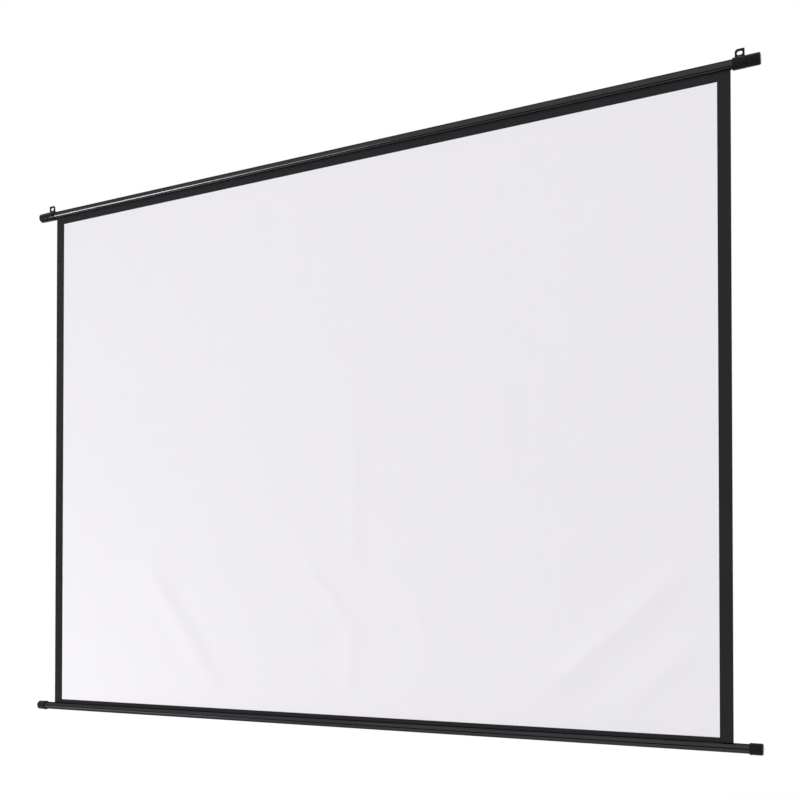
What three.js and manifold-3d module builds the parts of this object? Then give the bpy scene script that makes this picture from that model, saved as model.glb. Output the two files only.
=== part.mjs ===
// A motorized projection screen: a slim housing with its drive and roller, the fabric and the weight bar.
// Millimetres, +Z up, X along the bars, and the picture faces -Y.
// The origin is the middle of the line through the two hanger holes.

import * as THREE from 'three';
import { mergeVertices } from 'three/addons/utils/BufferGeometryUtils.js';
import Module from 'manifold-3d';

// Picture and fabric
const imageWidth = 2438;
const imageHeight = 1829;
const sideBorder = 37;
const topBorder = 26.5;
const bottomBorder = 13;
const fabricThickness = 0.15;
const safetyWrapCount = 2;

// Clearances
const slipGap = 0.3;
const snugGap = 0.1;
const cutOverrun = 1;

// Housing and weight bar tubes
const tubeDiameter = 27;
const tubeWall = 1;
const slotWidth = 3;
const grooveWidth = 2;
const grooveDepth = 0.5;
const housingGrooveAngle = 49;
const barGrooveAngle = 90;

// End caps and their screws
const capWall = 2.95;
const capLength = 36;
const capEndWall = 3;
const capEdge = 1.2;
const capRounding = 2;
const barShortening = 2;
const capScrewHeadDiameter = 5.6;
const capScrewHeadHeight = 1.4;
const capScrewDiameter = 2.6;
const capScrewReach = 1.85;
const capScrewInset = 0.2;
const capScrewPlaceShare = 0.45;

// Hangers
const hangerLength = 38.5;
const hangerToCap = 0.5;
const hangerToFabric = 5;
const plateWidth = 26.4;
const plateThickness = 3.5;
const holeAboveCollar = 10.85;
const holeWidth = 15.5;
const holeTallness = 11.5;
const plateTopMargin = 6.05;
const plateInnerCorner = 8;
const plateOuterCorner = 1;
const plateSeatShare = 0.35;

// Roller
const rollerDiameter = 12;
const rollerBore = 8;
const rollerOverhang = 3;
const kederGrooveWidth = 1.8;
const kederGrooveDepth = 1.4;
const kederHeight = 1;
const plugLength = 20;
const plugFlange = 2;
const journalDiameter = 5;
const journalDepth = 14;

// Felt strips in the housing's slot
const feltHeight = 2;

// Hem and ballast in the weight bar
const splineDiameter = 4.4;
const hemChannelRadius = 3.1;
const hemChannelWall = 0.9;
const hemChannelBlend = 0.6;
const hemSlotWidth = 2.4;
const ballastDiameter = 9;
const ballastEndGap = 1;

// Gearbox, from the roller outwards
const gearCaseWall = 1.405;
const sunTeeth = 12;
const planetTeeth = 12;
const planetCount = 3;
const addendumShare = 0.8;
const dedendumShare = 1.1;
const gearBacklash = 0.08;
const pressureAngle = 20;
const flankSteps = 2;
const gearWidth = 5;
const gearboxLength = 12;
const gearboxToRoller = 1;
const frontPlateThickness = 2;
const bushingDiameter = 8;
const bushingFlangeDiameter = 10.4;
const bushingFlange = 0.7;
const carrierThickness = 1.4;
const carrierPlay = 0.5;
const planetPinShare = 0.37;
const planetPinEnd = 0.6;
const planetPlay = 0.4;

// Motor
const canLength = 26;
const canWall = 1;
const motorShaftShare = 0.37;
const magnetThickness = 1.2;
const magnetHalfAngle = 75;
const magnetLength = 14;
const magnetStart = 3;
const airGap = 0.4;
const poleCount = 5;
const poleHalfAngle = 28;
const poleNeckShare = 0.155;
const poleTipShare = 0.18;
const hubShare = 0.36;
const coreLength = 13;
const windingOverhang = 1.4;
const windingGap = 0.15;
const commutatorShare = 0.42;
const commutatorLength = 4;
const brushWidth = 2;
const brushPostWidth = 3;
const brushPostShare = 0.34;
const endBellPlug = 2;
const endBellFlange = 2;
const endBellBossDiameter = 6;
const endBellBossLength = 4;
const shaftTail = 2;

// Clamps that key the motor and the idler into the housing
const clampLength = 9;
const clampWall = 2.1;
const innerClampPlace = 2;
const outerClampPlace = 12;
const idlerBracketLength = 12;
const idlerBearingDiameter = 11.2;
const idlerBearingLength = 5;
const keyClearance = 0.1;
const clampScrewHeadDiameter = 4.4;
const clampScrewDiameter = 2.5;
const clampScrewLength = 2.3;

// Board, switch, button, inlet and leads
const boardEdgeGap = 0.9;
const boardEndGap = 7;
const boardThickness = 1;
const boardDropShare = 2 / 3;
const switchSize = 6;
const switchDepth = 4;
const switchInset = 1;
const plungerDiameter = 3;
const plungerLength = 2.9;
const plungerInside = 0.7;
const plungerBoreDepth = 2;
const buttonDiameter = 6;
const buttonFlangeDiameter = 8;
const buttonFlange = 1.5;
const buttonStemDiameter = 2.4;
const buttonProud = 1.5;
const inletRise = 0.5;
const inletDiameter = 8;
const inletFlangeDiameter = 10;
const inletFlange = 1.2;
const inletBore = 5.5;
const inletDepth = 10;
const inletBack = 2;
const inletPinDiameter = 2;
const inletPinInset = 2.2;
const leadDiameter = 1.6;
const leadReach = 6;
const motorLeadSide = 5;

// Smoothness of round pieces
const roundSegments = 40;
const smallSegments = 18;
const cornerSteps = 4;
const leadSteps = 10;

// Sizes worked out from those above
const fabricWidth = imageWidth + 2 * sideBorder;
const fabricHeight = topBorder + imageHeight + bottomBorder;
const fabricHalf = fabricWidth / 2;
const tubeRadius = tubeDiameter / 2;
const tubeBoreRadius = tubeRadius - tubeWall;
const capRadius = tubeRadius + slipGap + capWall;
const holeHeight = capRadius + holeAboveCollar;
const clampRadius = tubeBoreRadius - slipGap;
const capStart = fabricHalf + hangerToFabric + hangerLength + hangerToCap;
const housingHalf = capStart + capLength - capEndWall;
const barHalf = housingHalf - barShortening;
const barCapStart = capStart - barShortening;
const hangerStart = fabricHalf + hangerToFabric;
const barDrop = fabricHeight + tubeDiameter;
const rollerRadius = rollerDiameter / 2;
const rollerHalf = fabricHalf + rollerOverhang;
const wrapInnerRadius = rollerRadius + snugGap;
const wrapOuterRadius = wrapInnerRadius + safetyWrapCount * fabricThickness;
const journalRadius = journalDiameter / 2;
const ringTeeth = sunTeeth + 2 * planetTeeth;
const gearboxRadius = clampRadius - clampWall - snugGap;
const gearModule = (gearboxRadius - gearCaseWall) / (ringTeeth / 2 + dedendumShare);
const planetOrbit = (gearModule * (sunTeeth + planetTeeth)) / 2;
const planetPinRadius = ((gearModule * planetTeeth) / 2) * planetPinShare;
const shaftRadius = ((gearModule * sunTeeth) / 2) * motorShaftShare;
const gearboxStart = rollerHalf + plugFlange + gearboxToRoller;
const gearCaseStart = gearboxStart + frontPlateThickness;
const carrierStart = gearCaseStart + bushingFlange + carrierPlay;
const planetStart = carrierStart + carrierThickness + planetPlay;
const motorStart = gearCaseStart + gearboxLength;
const motorEnd = motorStart + canLength;
const canBoreRadius = gearboxRadius - canWall;
const magnetOuterRadius = canBoreRadius - slipGap;
const magnetInnerRadius = magnetOuterRadius - magnetThickness;
const coreRadius = magnetInnerRadius - airGap;
const poleNeckHalfWidth = coreRadius * poleNeckShare;
const poleTipThickness = coreRadius * poleTipShare;
const hubRadius = coreRadius * hubShare;
const commutatorRadius = coreRadius * commutatorShare;
const coreStart = motorStart + magnetStart + (magnetLength - coreLength) / 2;
const windingStart = coreStart - windingOverhang;
const windingLength = coreLength + 2 * windingOverhang;
const windingOuterRadius = coreRadius - poleTipThickness - slipGap;
const commutatorStart = windingStart + windingLength + slipGap;
const bellRear = motorEnd + endBellFlange;
const capInside = housingHalf;
const boardLength = capInside - bellRear - boardEndGap;
const boardDrop = tubeBoreRadius * boardDropShare;
const boardHalfWidth = Math.sqrt(tubeBoreRadius ** 2 - (boardDrop + boardThickness) ** 2) - boardEdgeGap;
const inletHeight = inletFlangeDiameter / 2 + inletRise;
const switchHeight = -boardDrop + switchSize / 2;
const switchStart = bellRear + boardLength - switchInset - switchDepth;

// Colours, roughness and metalness
function finish(color, roughness, metalness) {
  return { color, roughness, metalness };
}

const blackPaint = finish(0x2b2b2d, 0.42, 0.2);
const blackPlastic = finish(0x1f1f21, 0.5, 0);
const whiteFabric = finish(0xeeecf0, 0.9, 0);
const greyFelt = finish(0x3a3a3a, 1, 0);
const aluminium = finish(0xb9bbbd, 0.35, 0.9);
const steel = finish(0x9a9ca0, 0.3, 0.95);
const bronze = finish(0xb08d4f, 0.35, 0.9);
const copper = finish(0xb5643a, 0.35, 0.9);
const magnetGrey = finish(0x4b4b50, 0.6, 0.3);
const whiteNylon = finish(0xd8d6cf, 0.55, 0);
const greenBoard = finish(0x1f5a35, 0.5, 0);

const wasm = await Module();
wasm.setup();

// Solid from a closed geometry, with its vertices merged and its empty triangles dropped
function toSolid(geometry) {
  const bare = geometry.clone();
  bare.deleteAttribute('normal');
  bare.deleteAttribute('uv');
  const merged = mergeVertices(bare);
  const corners = merged.index.array;
  const kept = [];
  for (let i = 0; i < corners.length; i += 3) {
    const [a, b, c] = corners.slice(i, i + 3);
    if (a !== b && b !== c && c !== a) kept.push(a, b, c);
  }
  const mesh = new wasm.Mesh({
    numProp: 3,
    vertProperties: new Float32Array(merged.attributes.position.array),
    triVerts: new Uint32Array(kept),
  });
  return new wasm.Manifold(mesh);
}

// Geometry from a solid
function toGeometry(solid) {
  const mesh = solid.getMesh();
  const geometry = new THREE.BufferGeometry();
  geometry.setAttribute('position', new THREE.BufferAttribute(mesh.vertProperties, 3));
  geometry.setIndex(new THREE.BufferAttribute(mesh.triVerts, 1));
  return geometry;
}

function cut(geometry, ...cutters) {
  let solid = toSolid(geometry);
  for (const cutter of cutters) solid = solid.subtract(toSolid(cutter));
  return toGeometry(solid);
}

function join(...geometries) {
  let solid = toSolid(geometries[0]);
  for (const other of geometries.slice(1)) solid = solid.add(toSolid(other));
  return toGeometry(solid);
}

// Twice the signed area of a closed outline
function signedArea(points) {
  let sum = 0;
  points.forEach(([x, y], i) => {
    const [nextX, nextY] = points[(i + 1) % points.length];
    sum += x * nextY - nextX * y;
  });
  return sum;
}

// A shape that is turned about X, from [x, radius] points; an outline clear of the axis makes a ring
function turned(outline, segments = roundSegments) {
  const points = signedArea(outline) > 0 ? [...outline].reverse() : [...outline];
  const ring = points.every(([, radius]) => radius > 0);
  if (ring) points.push(points[0]);
  else while (points[0][1] > 0 || points[points.length - 1][1] > 0) points.push(points.shift());
  const profile = points.map(([x, radius]) => new THREE.Vector2(radius, x));
  const geometry = new THREE.LatheGeometry(profile, segments);
  return geometry.rotateZ(-Math.PI / 2);
}

// Outline of a plain sleeve or, with no bore, of a disc
function sleeve(start, end, outerRadius, innerRadius = 0) {
  return [[start, innerRadius], [end, innerRadius], [end, outerRadius], [start, outerRadius]];
}

function rod(start, end, radius, segments = smallSegments) {
  return turned(sleeve(start, end, radius), segments);
}

// Closed shape from [y, z] points, with holes given in the same way
function shapeOf(points, holes = []) {
  const toVectors = (list) => list.map(([a, b]) => new THREE.Vector2(a, b));
  const shape = new THREE.Shape(toVectors(points));
  for (const hole of holes) shape.holes.push(new THREE.Path(toVectors(hole)));
  return shape;
}

const axisX = new THREE.Vector3(1, 0, 0);
const axisY = new THREE.Vector3(0, 1, 0);
const axisZ = new THREE.Vector3(0, 0, 1);
const sectionToX = new THREE.Matrix4().makeBasis(axisY, axisZ, axisX);
const sectionToY = new THREE.Matrix4().makeBasis(axisX, axisZ, axisY.clone().negate());

// A [y, z] shape carried along X from start to end
function alongX(shape, start, end) {
  const geometry = new THREE.ExtrudeGeometry(shape, { depth: end - start, bevelEnabled: false });
  geometry.applyMatrix4(sectionToX);
  return geometry.translate(start, 0, 0);
}

// An [x, z] shape with its thickness centred on the plane of the bars
function alongY(shape, thickness) {
  const geometry = new THREE.ExtrudeGeometry(shape, { depth: thickness, bevelEnabled: false });
  geometry.applyMatrix4(sectionToY);
  return geometry.translate(0, thickness / 2, 0);
}

// Box from its lowest and highest corners
function block([x0, y0, z0], [x1, y1, z1]) {
  const geometry = new THREE.BoxGeometry(x1 - x0, y1 - y0, z1 - z0);
  return geometry.translate((x0 + x1) / 2, (y0 + y1) / 2, (z0 + z1) / 2);
}

function polar(radius, angle) {
  return [radius * Math.cos(angle), radius * Math.sin(angle)];
}

function radians(degrees) {
  return THREE.MathUtils.degToRad(degrees);
}

// Points of an arc, with both of its ends
function arc([centreX, centreY], radius, from, to, steps) {
  return Array.from({ length: steps + 1 }, (_, i) => {
    const [x, y] = polar(radius, from + ((to - from) * i) / steps);
    return [centreX + x, centreY + y];
  });
}

function circle(radius, segments = roundSegments, centre = [0, 0]) {
  return arc(centre, radius, 0, 2 * Math.PI, segments).slice(0, -1);
}

// Round outline between two angles, with a V groove at each angle of grooves
function groovedArc(radius, from, to, grooves) {
  const halfWidth = grooveWidth / 2 / radius;
  const stops = [from, ...grooves.flatMap((a) => [a - halfWidth, a, a + halfWidth]), to];
  const points = [polar(radius, from)];
  for (let i = 1; i < stops.length; i += 1) {
    const inGroove = grooves.some((a) => Math.abs((stops[i - 1] + stops[i]) / 2 - a) < halfWidth);
    if (inGroove) {
      points.push(polar(grooves.includes(stops[i]) ? radius - grooveDepth : radius, stops[i]));
    } else {
      const steps = Math.max(1, Math.round(((stops[i] - stops[i - 1]) / (2 * Math.PI)) * roundSegments));
      points.push(...arc([0, 0], radius, stops[i - 1], stops[i], steps).slice(1));
    }
  }
  return points;
}

// Section of a tube with an open slot towards the given direction, and a groove on each side of it
function slottedTube(direction, grooveAngle) {
  const outerHalf = Math.asin(slotWidth / 2 / tubeRadius);
  const innerHalf = Math.asin(slotWidth / 2 / tubeBoreRadius);
  const turn = 2 * Math.PI;
  const grooves = [direction + radians(grooveAngle), direction + turn - radians(grooveAngle)];
  const outer = groovedArc(tubeRadius, direction + outerHalf, direction + turn - outerHalf, grooves);
  const inner = arc(
    [0, 0], tubeBoreRadius, direction + turn - innerHalf, direction + innerHalf, roundSegments,
  );
  return shapeOf([...outer, ...inner]);
}

// Points of a band of even thickness round a line of [y, z] points
function band(line, thickness) {
  const sides = [[], []];
  const toVector = ([a, b]) => new THREE.Vector2(a, b);
  line.forEach((point, i) => {
    const before = toVector(line[Math.max(i - 1, 0)]);
    const here = toVector(point);
    const after = toVector(line[Math.min(i + 1, line.length - 1)]);
    const into = i > 0 ? here.clone().sub(before).normalize() : after.clone().sub(here).normalize();
    const out = i < line.length - 1 ? after.clone().sub(here).normalize() : into;
    const middle = into.clone().add(out).normalize();
    const reach = thickness / 2 / middle.dot(into);
    sides[0].push([here.x - middle.y * reach, here.y + middle.x * reach]);
    sides[1].unshift([here.x + middle.y * reach, here.y - middle.x * reach]);
  });
  return [...sides[0], ...sides[1]];
}

const screen = new THREE.Group();
screen.position.z = -holeHeight;

// The left end's group is turned half round, so that +X points outwards in both end groups
const rightEnd = new THREE.Group();
const leftEnd = new THREE.Group();
leftEnd.rotation.z = Math.PI;
const weightBar = new THREE.Group();
weightBar.position.z = -barDrop;
const barRightEnd = new THREE.Group();
const barLeftEnd = new THREE.Group();
barLeftEnd.rotation.z = Math.PI;
weightBar.add(barRightEnd, barLeftEnd);
screen.add(rightEnd, leftEnd, weightBar);

// In an end's group, the side of the object's back
const backOf = new Map([[rightEnd, 1], [leftEnd, -1], [barRightEnd, 1], [barLeftEnd, -1]]);

function add(group, name, geometry, look, place = [0, 0, 0]) {
  const mesh = new THREE.Mesh(geometry, new THREE.MeshStandardMaterial(look));
  mesh.name = name;
  mesh.position.set(...place);
  group.add(mesh);
}

// A piece that is turned about X, laid along Y so that its +X points to the back
function towardsBack(geometry, back) {
  return geometry.rotateZ((back * Math.PI) / 2);
}

// Hole through a tube's wall from the back at a distance along the tube
function backHole(distance, radius, from, to, back) {
  return towardsBack(rod(from, to, radius), back).translate(distance, 0, 0);
}

// Cap screw hole and seat; the seat's flat bottom carries the head
const capSeatRadius = capRadius - capScrewInset - capScrewHeadHeight;
const capScrewLength = capSeatRadius - tubeBoreRadius + capScrewReach;

function endCap(holes, back) {
  const inside = capLength - capEndWall;
  const bore = tubeRadius + slipGap;
  const outer = arc(
    [capLength - capRounding, capRadius - capRounding], capRounding, Math.PI / 2, 0, cornerSteps,
  );
  const body = turned([
    [inside, 0],
    [inside, bore],
    [0, bore],
    [0, capRadius - capEdge],
    [capEdge, capRadius],
    ...outer,
    [capLength, 0],
  ]);
  const place = capLength * capScrewPlaceShare;
  const stemHole = backHole(place, capScrewDiameter / 2 + slipGap, 0, capRadius, back);
  const headHole = backHole(
    place, capScrewHeadDiameter / 2 + slipGap, capSeatRadius, capRadius + cutOverrun, back,
  );
  return cut(body, stemHole, headHole, ...holes);
}

function capScrew(back) {
  const headRadius = capScrewHeadDiameter / 2;
  const stemRadius = capScrewDiameter / 2;
  const outline = [
    [-capScrewLength, 0],
    [-capScrewLength, stemRadius],
    [0, stemRadius],
    [0, headRadius],
    [capScrewHeadHeight, headRadius],
    [capScrewHeadHeight, 0],
  ];
  return towardsBack(turned(outline, smallSegments), back);
}

function addCap(group, name, screwName, start, holes = []) {
  const back = backOf.get(group);
  add(group, name, endCap(holes, back), blackPlastic, [start, 0, 0]);
  const place = start + capLength * capScrewPlaceShare;
  add(group, screwName, capScrew(back), steel, [place, back * capSeatRadius, 0]);
}

// Screw holes in a tube, as distances from its middle on both sides
function screwHoles(distances, radius) {
  return distances.flatMap((distance) => [distance, -distance]).map((x) => (
    backHole(x, radius, tubeBoreRadius - cutOverrun, tubeRadius + cutOverrun, 1)
  ));
}

// Housing
const innerClampStart = gearCaseStart + innerClampPlace;
const outerClampStart = motorStart + outerClampPlace;
const idlerBracketStart = gearboxStart;
const clampScrewPlaces = [-(outerClampStart + clampLength / 2), idlerBracketStart + idlerBracketLength / 2];
const clampSinkRadius = clampScrewHeadDiameter / 2 + slipGap;
const capScrewHole = capScrewDiameter / 2 + slipGap;

function housingTube() {
  const tube = alongX(slottedTube(-Math.PI / 2, housingGrooveAngle), -housingHalf, housingHalf);
  const sinks = clampScrewPlaces.map((x) => (
    backHole(x, clampSinkRadius, tubeBoreRadius - cutOverrun, tubeRadius + cutOverrun, 1)
  ));
  return cut(tube, ...screwHoles([capStart + capLength * capScrewPlaceShare], capScrewHole), ...sinks);
}

add(screen, 'housing_tube', housingTube(), blackPaint);

const feltThickness = slotWidth / 2 - fabricThickness / 2 - slipGap;
const feltDrop = Math.sqrt(tubeBoreRadius ** 2 - (slotWidth / 2) ** 2) + tubeWall / 2;
for (const [name, side] of [['slot_felt_front', -1], ['slot_felt_back', 1]]) {
  const felt = new THREE.BoxGeometry(2 * rollerHalf, feltThickness, feltHeight);
  const across = side * (slotWidth / 2 - feltThickness / 2);
  add(screen, name, felt, greyFelt, [0, across, -feltDrop]);
}

// Caps of the housing; the left one has the inlet's and the button's holes
const controlHoles = [
  rod(0, capLength + cutOverrun, inletDiameter / 2 + slipGap).translate(0, 0, inletHeight),
  rod(0, capLength + cutOverrun, buttonDiameter / 2 + slipGap).translate(0, 0, switchHeight),
];
addCap(rightEnd, 'end_cap_top_right', 'cap_screw_top_right', capStart);
addCap(leftEnd, 'end_cap_top_left', 'cap_screw_top_left', capStart, controlHoles);

// Hangers: a collar that turns on the tube, with an upright plate that has an oval hole
function hanger() {
  const bore = tubeRadius + slipGap;
  const collar = turned([
    [0, bore],
    [hangerLength, bore],
    [hangerLength, capRadius - capEdge],
    [hangerLength - capEdge, capRadius],
    [capEdge, capRadius],
    [0, capRadius - capEdge],
  ]);
  const middle = hangerLength / 2;
  const low = bore + (capRadius - bore) * plateSeatShare;
  const top = holeHeight + holeTallness / 2 + plateTopMargin;
  const inner = middle - plateWidth / 2;
  const outer = middle + plateWidth / 2;
  const halfTurn = Math.PI / 2;
  const corner = (x, radius, from) => arc([x, top - radius], radius, from, from + halfTurn, cornerSteps);
  const outline = [
    [inner, low],
    [outer, low],
    ...corner(outer - plateOuterCorner, plateOuterCorner, 0),
    ...corner(inner + plateInnerCorner, plateInnerCorner, halfTurn),
  ];
  const holeRadius = holeTallness / 2;
  const holeReach = holeWidth / 2 - holeRadius;
  const steps = smallSegments / 2;
  const hole = [
    ...arc([middle + holeReach, holeHeight], holeRadius, -halfTurn, halfTurn, steps),
    ...arc([middle - holeReach, holeHeight], holeRadius, halfTurn, Math.PI + halfTurn, steps),
  ];
  return join(collar, alongY(shapeOf(outline, [hole]), plateThickness));
}

add(rightEnd, 'hanger_right', hanger(), blackPlastic, [hangerStart, 0, 0]);
add(leftEnd, 'hanger_left', hanger(), blackPlastic, [hangerStart, 0, 0]);

// Roller with its keder strip and the last wraps of fabric
function rollerTube() {
  const ring = shapeOf(circle(rollerRadius), [circle(rollerBore / 2, smallSegments)]);
  const half = kederGrooveWidth / 2;
  const groove = block(
    [-rollerHalf - cutOverrun, -half, rollerRadius - kederGrooveDepth],
    [rollerHalf + cutOverrun, half, rollerRadius + cutOverrun],
  );
  return cut(alongX(ring, -rollerHalf, rollerHalf), groove);
}

add(screen, 'roller_tube', rollerTube(), aluminium);
const kederWidth = kederGrooveWidth - 2 * snugGap;
const kederMiddle = rollerRadius - kederGrooveDepth + snugGap + kederHeight / 2;
const keder = new THREE.BoxGeometry(fabricWidth, kederWidth, kederHeight);
add(screen, 'roller_keder', keder, whiteNylon, [0, 0, kederMiddle]);
const wraps = turned(sleeve(-fabricHalf, fabricHalf, wrapOuterRadius, wrapInnerRadius));
add(screen, 'fabric_wraps', wraps, whiteFabric);

// Plug in a roller's end: a flange on the end face and a bore for the journal
function rollerPlug() {
  const body = rollerBore / 2 - slipGap;
  const bore = journalRadius + snugGap;
  return turned([
    [-plugLength, 0],
    [-plugLength, body],
    [0, body],
    [0, rollerRadius],
    [plugFlange, rollerRadius],
    [plugFlange, bore],
    [plugFlange - journalDepth, bore],
    [plugFlange - journalDepth, 0],
  ], smallSegments);
}

const journalStart = rollerHalf + plugFlange - journalDepth + snugGap;
add(leftEnd, 'drive_plug', rollerPlug(), blackPlastic, [rollerHalf, 0, 0]);
add(rightEnd, 'idler_plug', rollerPlug(), blackPlastic, [rollerHalf, 0, 0]);

// Clamp round a round piece in the housing's bore, with a key in the slot and a screw hole at the back
function clamp(length, bores, back) {
  const keyHalf = slotWidth / 2 - slipGap;
  const ring = turned(sleeve(0, length, clampRadius));
  const keyRoot = clampWall / 2 - clampRadius;
  const key = block([0, -keyHalf, -tubeRadius + keyClearance], [length, keyHalf, keyRoot]);
  const screwHole = backHole(length / 2, clampScrewDiameter / 2 + slipGap, 0, tubeRadius, back);
  return cut(join(ring, key), ...bores, screwHole);
}

// Flat-topped screw, flush in the housing's wall
function clampScrew(back) {
  const headRadius = clampScrewHeadDiameter / 2;
  const stemRadius = clampScrewDiameter / 2;
  const outline = [
    [-clampScrewLength, 0],
    [-clampScrewLength, stemRadius],
    [-tubeWall, stemRadius],
    [0, headRadius],
    [0, 0],
  ];
  return towardsBack(turned(outline, smallSegments), back);
}

const clampScrewTop = tubeRadius - keyClearance;

// Idler: a pin in the right plug turns in a bush that a bracket holds
function idlerBracket() {
  const shoulder = idlerBearingLength + slipGap;
  const seat = rod(-cutOverrun, shoulder, idlerBearingDiameter / 2 + slipGap);
  const passage = rod(-cutOverrun, idlerBracketLength + cutOverrun, journalRadius + 2 * slipGap);
  return clamp(idlerBracketLength, [seat, passage], backOf.get(rightEnd));
}

add(rightEnd, 'idler_bracket', idlerBracket(), blackPlastic, [idlerBracketStart, 0, 0]);
const idlerBearing = turned(
  sleeve(0, idlerBearingLength, idlerBearingDiameter / 2, journalRadius + slipGap), smallSegments,
);
add(rightEnd, 'idler_bearing', idlerBearing, bronze, [idlerBracketStart + slipGap, 0, 0]);
const idlerPin = rod(0, idlerBracketStart + idlerBracketLength - journalStart, journalRadius);
add(rightEnd, 'idler_pin', idlerPin, steel, [journalStart, 0, 0]);
const rightBack = backOf.get(rightEnd);
add(rightEnd, 'idler_bracket_screw', clampScrew(rightBack), steel,
  [idlerBracketStart + idlerBracketLength / 2, rightBack * clampScrewTop, 0]);

// Gears: half the angle of a tooth at a radius, for an involute flank
function toothHalfAngle(radius, teeth, play) {
  const pitchRadius = (gearModule * teeth) / 2;
  const pressure = radians(pressureAngle);
  const baseRadius = pitchRadius * Math.cos(pressure);
  const angle = Math.acos(Math.min(1, baseRadius / radius));
  const involute = (a) => Math.tan(a) - a;
  return Math.PI / (2 * teeth) - play / (2 * pitchRadius) + involute(pressure) - involute(angle);
}

// Outline of a toothed wheel, with a tooth's middle at the given angle
function gearOutline(teeth, inner, outer, play, phase) {
  const points = [];
  for (let tooth = 0; tooth < teeth; tooth += 1) {
    const middle = phase + (2 * Math.PI * tooth) / teeth;
    const flank = Array.from({ length: flankSteps + 1 }, (_, i) => {
      const radius = inner + ((outer - inner) * i) / flankSteps;
      return [radius, toothHalfAngle(radius, teeth, play)];
    });
    points.push(...flank.map(([radius, half]) => polar(radius, middle - half)));
    points.push(...flank.reverse().map(([radius, half]) => polar(radius, middle + half)));
  }
  return points;
}

const addendum = addendumShare * gearModule;
const dedendum = dedendumShare * gearModule;

function outerGear(teeth, bore, phase) {
  const pitchRadius = (gearModule * teeth) / 2;
  const outline = gearOutline(teeth, pitchRadius - dedendum, pitchRadius + addendum, gearBacklash, phase);
  return alongX(shapeOf(outline, [circle(bore, smallSegments)]), 0, gearWidth);
}

// Gearbox case: the ring gear's teeth are cut in it
function gearboxCase() {
  const pitchRadius = (gearModule * ringTeeth) / 2;
  const halfPitch = Math.PI / ringTeeth;
  const teeth = gearOutline(
    ringTeeth, pitchRadius - addendum, pitchRadius + dedendum, -gearBacklash, halfPitch,
  );
  return alongX(shapeOf(circle(gearboxRadius), [teeth]), 0, gearboxLength);
}

const bushingRadius = bushingDiameter / 2;
const frontPlate = turned(sleeve(0, frontPlateThickness, gearboxRadius, bushingRadius + slipGap));
add(leftEnd, 'gearbox_front_plate', frontPlate, steel, [gearboxStart, 0, 0]);
const outputBushing = turned([
  [0, journalRadius + slipGap],
  [frontPlateThickness + bushingFlange, journalRadius + slipGap],
  [frontPlateThickness + bushingFlange, bushingFlangeDiameter / 2],
  [frontPlateThickness, bushingFlangeDiameter / 2],
  [frontPlateThickness, bushingRadius],
  [0, bushingRadius],
], smallSegments);
add(leftEnd, 'output_bushing', outputBushing, bronze, [gearboxStart, 0, 0]);
add(leftEnd, 'gearbox_case', gearboxCase(), steel, [gearCaseStart, 0, 0]);

// The planets stand round the sun, one of them straight up
const planetAngles = Array.from(
  { length: planetCount }, (_, i) => Math.PI / 2 + (2 * Math.PI * i) / planetCount,
);

function planetCarrier() {
  const discRadius = (gearModule * ringTeeth) / 2 - addendum - slipGap;
  const disc = turned(sleeve(0, carrierThickness, discRadius));
  const journal = rod(journalStart - carrierStart, carrierThickness / 2, journalRadius);
  const pinEnd = carrierThickness + planetPlay + gearWidth + planetPinEnd;
  const pins = planetAngles.map((angle) => {
    const [y, z] = polar(planetOrbit, angle);
    return rod(carrierThickness / 2, pinEnd, planetPinRadius).translate(0, y, z);
  });
  return join(disc, journal, ...pins);
}

add(leftEnd, 'planet_carrier', planetCarrier(), steel, [carrierStart, 0, 0]);
planetAngles.forEach((angle, i) => {
  const [y, z] = polar(planetOrbit, angle);
  const gear = outerGear(planetTeeth, planetPinRadius + slipGap, Math.PI / planetTeeth);
  add(leftEnd, `planet_gear_${i + 1}`, gear, whiteNylon, [planetStart, y, z]);
});

// Motor: rotor
const shaftBore = shaftRadius + snugGap;
const motorShaft = rod(0, bellRear + shaftTail - planetStart, shaftRadius);
add(leftEnd, 'motor_shaft', motorShaft, steel, [planetStart, 0, 0]);
add(leftEnd, 'sun_gear', outerGear(sunTeeth, shaftBore, 0), bronze, [planetStart, 0, 0]);

function rotorCore() {
  const points = [];
  const tipInner = coreRadius - poleTipThickness;
  const neckAtHub = Math.asin(poleNeckHalfWidth / hubRadius);
  const neckAtTip = Math.asin(poleNeckHalfWidth / tipInner);
  const half = radians(poleHalfAngle);
  for (let pole = 0; pole < poleCount; pole += 1) {
    const middle = (2 * Math.PI * pole) / poleCount;
    points.push(polar(hubRadius, middle - neckAtHub), polar(tipInner, middle - neckAtTip));
    points.push(polar(tipInner, middle - half));
    points.push(...arc([0, 0], coreRadius, middle - half, middle + half, cornerSteps));
    points.push(polar(tipInner, middle + half));
    points.push(polar(tipInner, middle + neckAtTip), polar(hubRadius, middle + neckAtHub));
  }
  return alongX(shapeOf(points, [circle(shaftBore, smallSegments)]), 0, coreLength);
}

add(leftEnd, 'rotor_core', rotorCore(), steel, [coreStart, 0, 0]);

// Winding: copper in the core's slots, joined by a ring at each end
function rotorWinding() {
  const innerRadius = hubRadius + slipGap;
  const ring = turned(sleeve(0, windingLength, windingOuterRadius, innerRadius), roundSegments);
  const necks = Array.from({ length: poleCount }, (_, pole) => {
    const half = poleNeckHalfWidth + windingGap;
    const neck = block(
      [windingOverhang - windingGap, 0, -half],
      [windingOverhang + coreLength + windingGap, windingOuterRadius + cutOverrun, half],
    );
    return neck.rotateX((2 * Math.PI * pole) / poleCount);
  });
  return cut(ring, ...necks);
}

add(leftEnd, 'rotor_winding', rotorWinding(), copper, [windingStart, 0, 0]);
const commutator = turned(sleeve(0, commutatorLength, commutatorRadius, shaftBore), smallSegments);
add(leftEnd, 'commutator', commutator, copper, [commutatorStart, 0, 0]);

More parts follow.
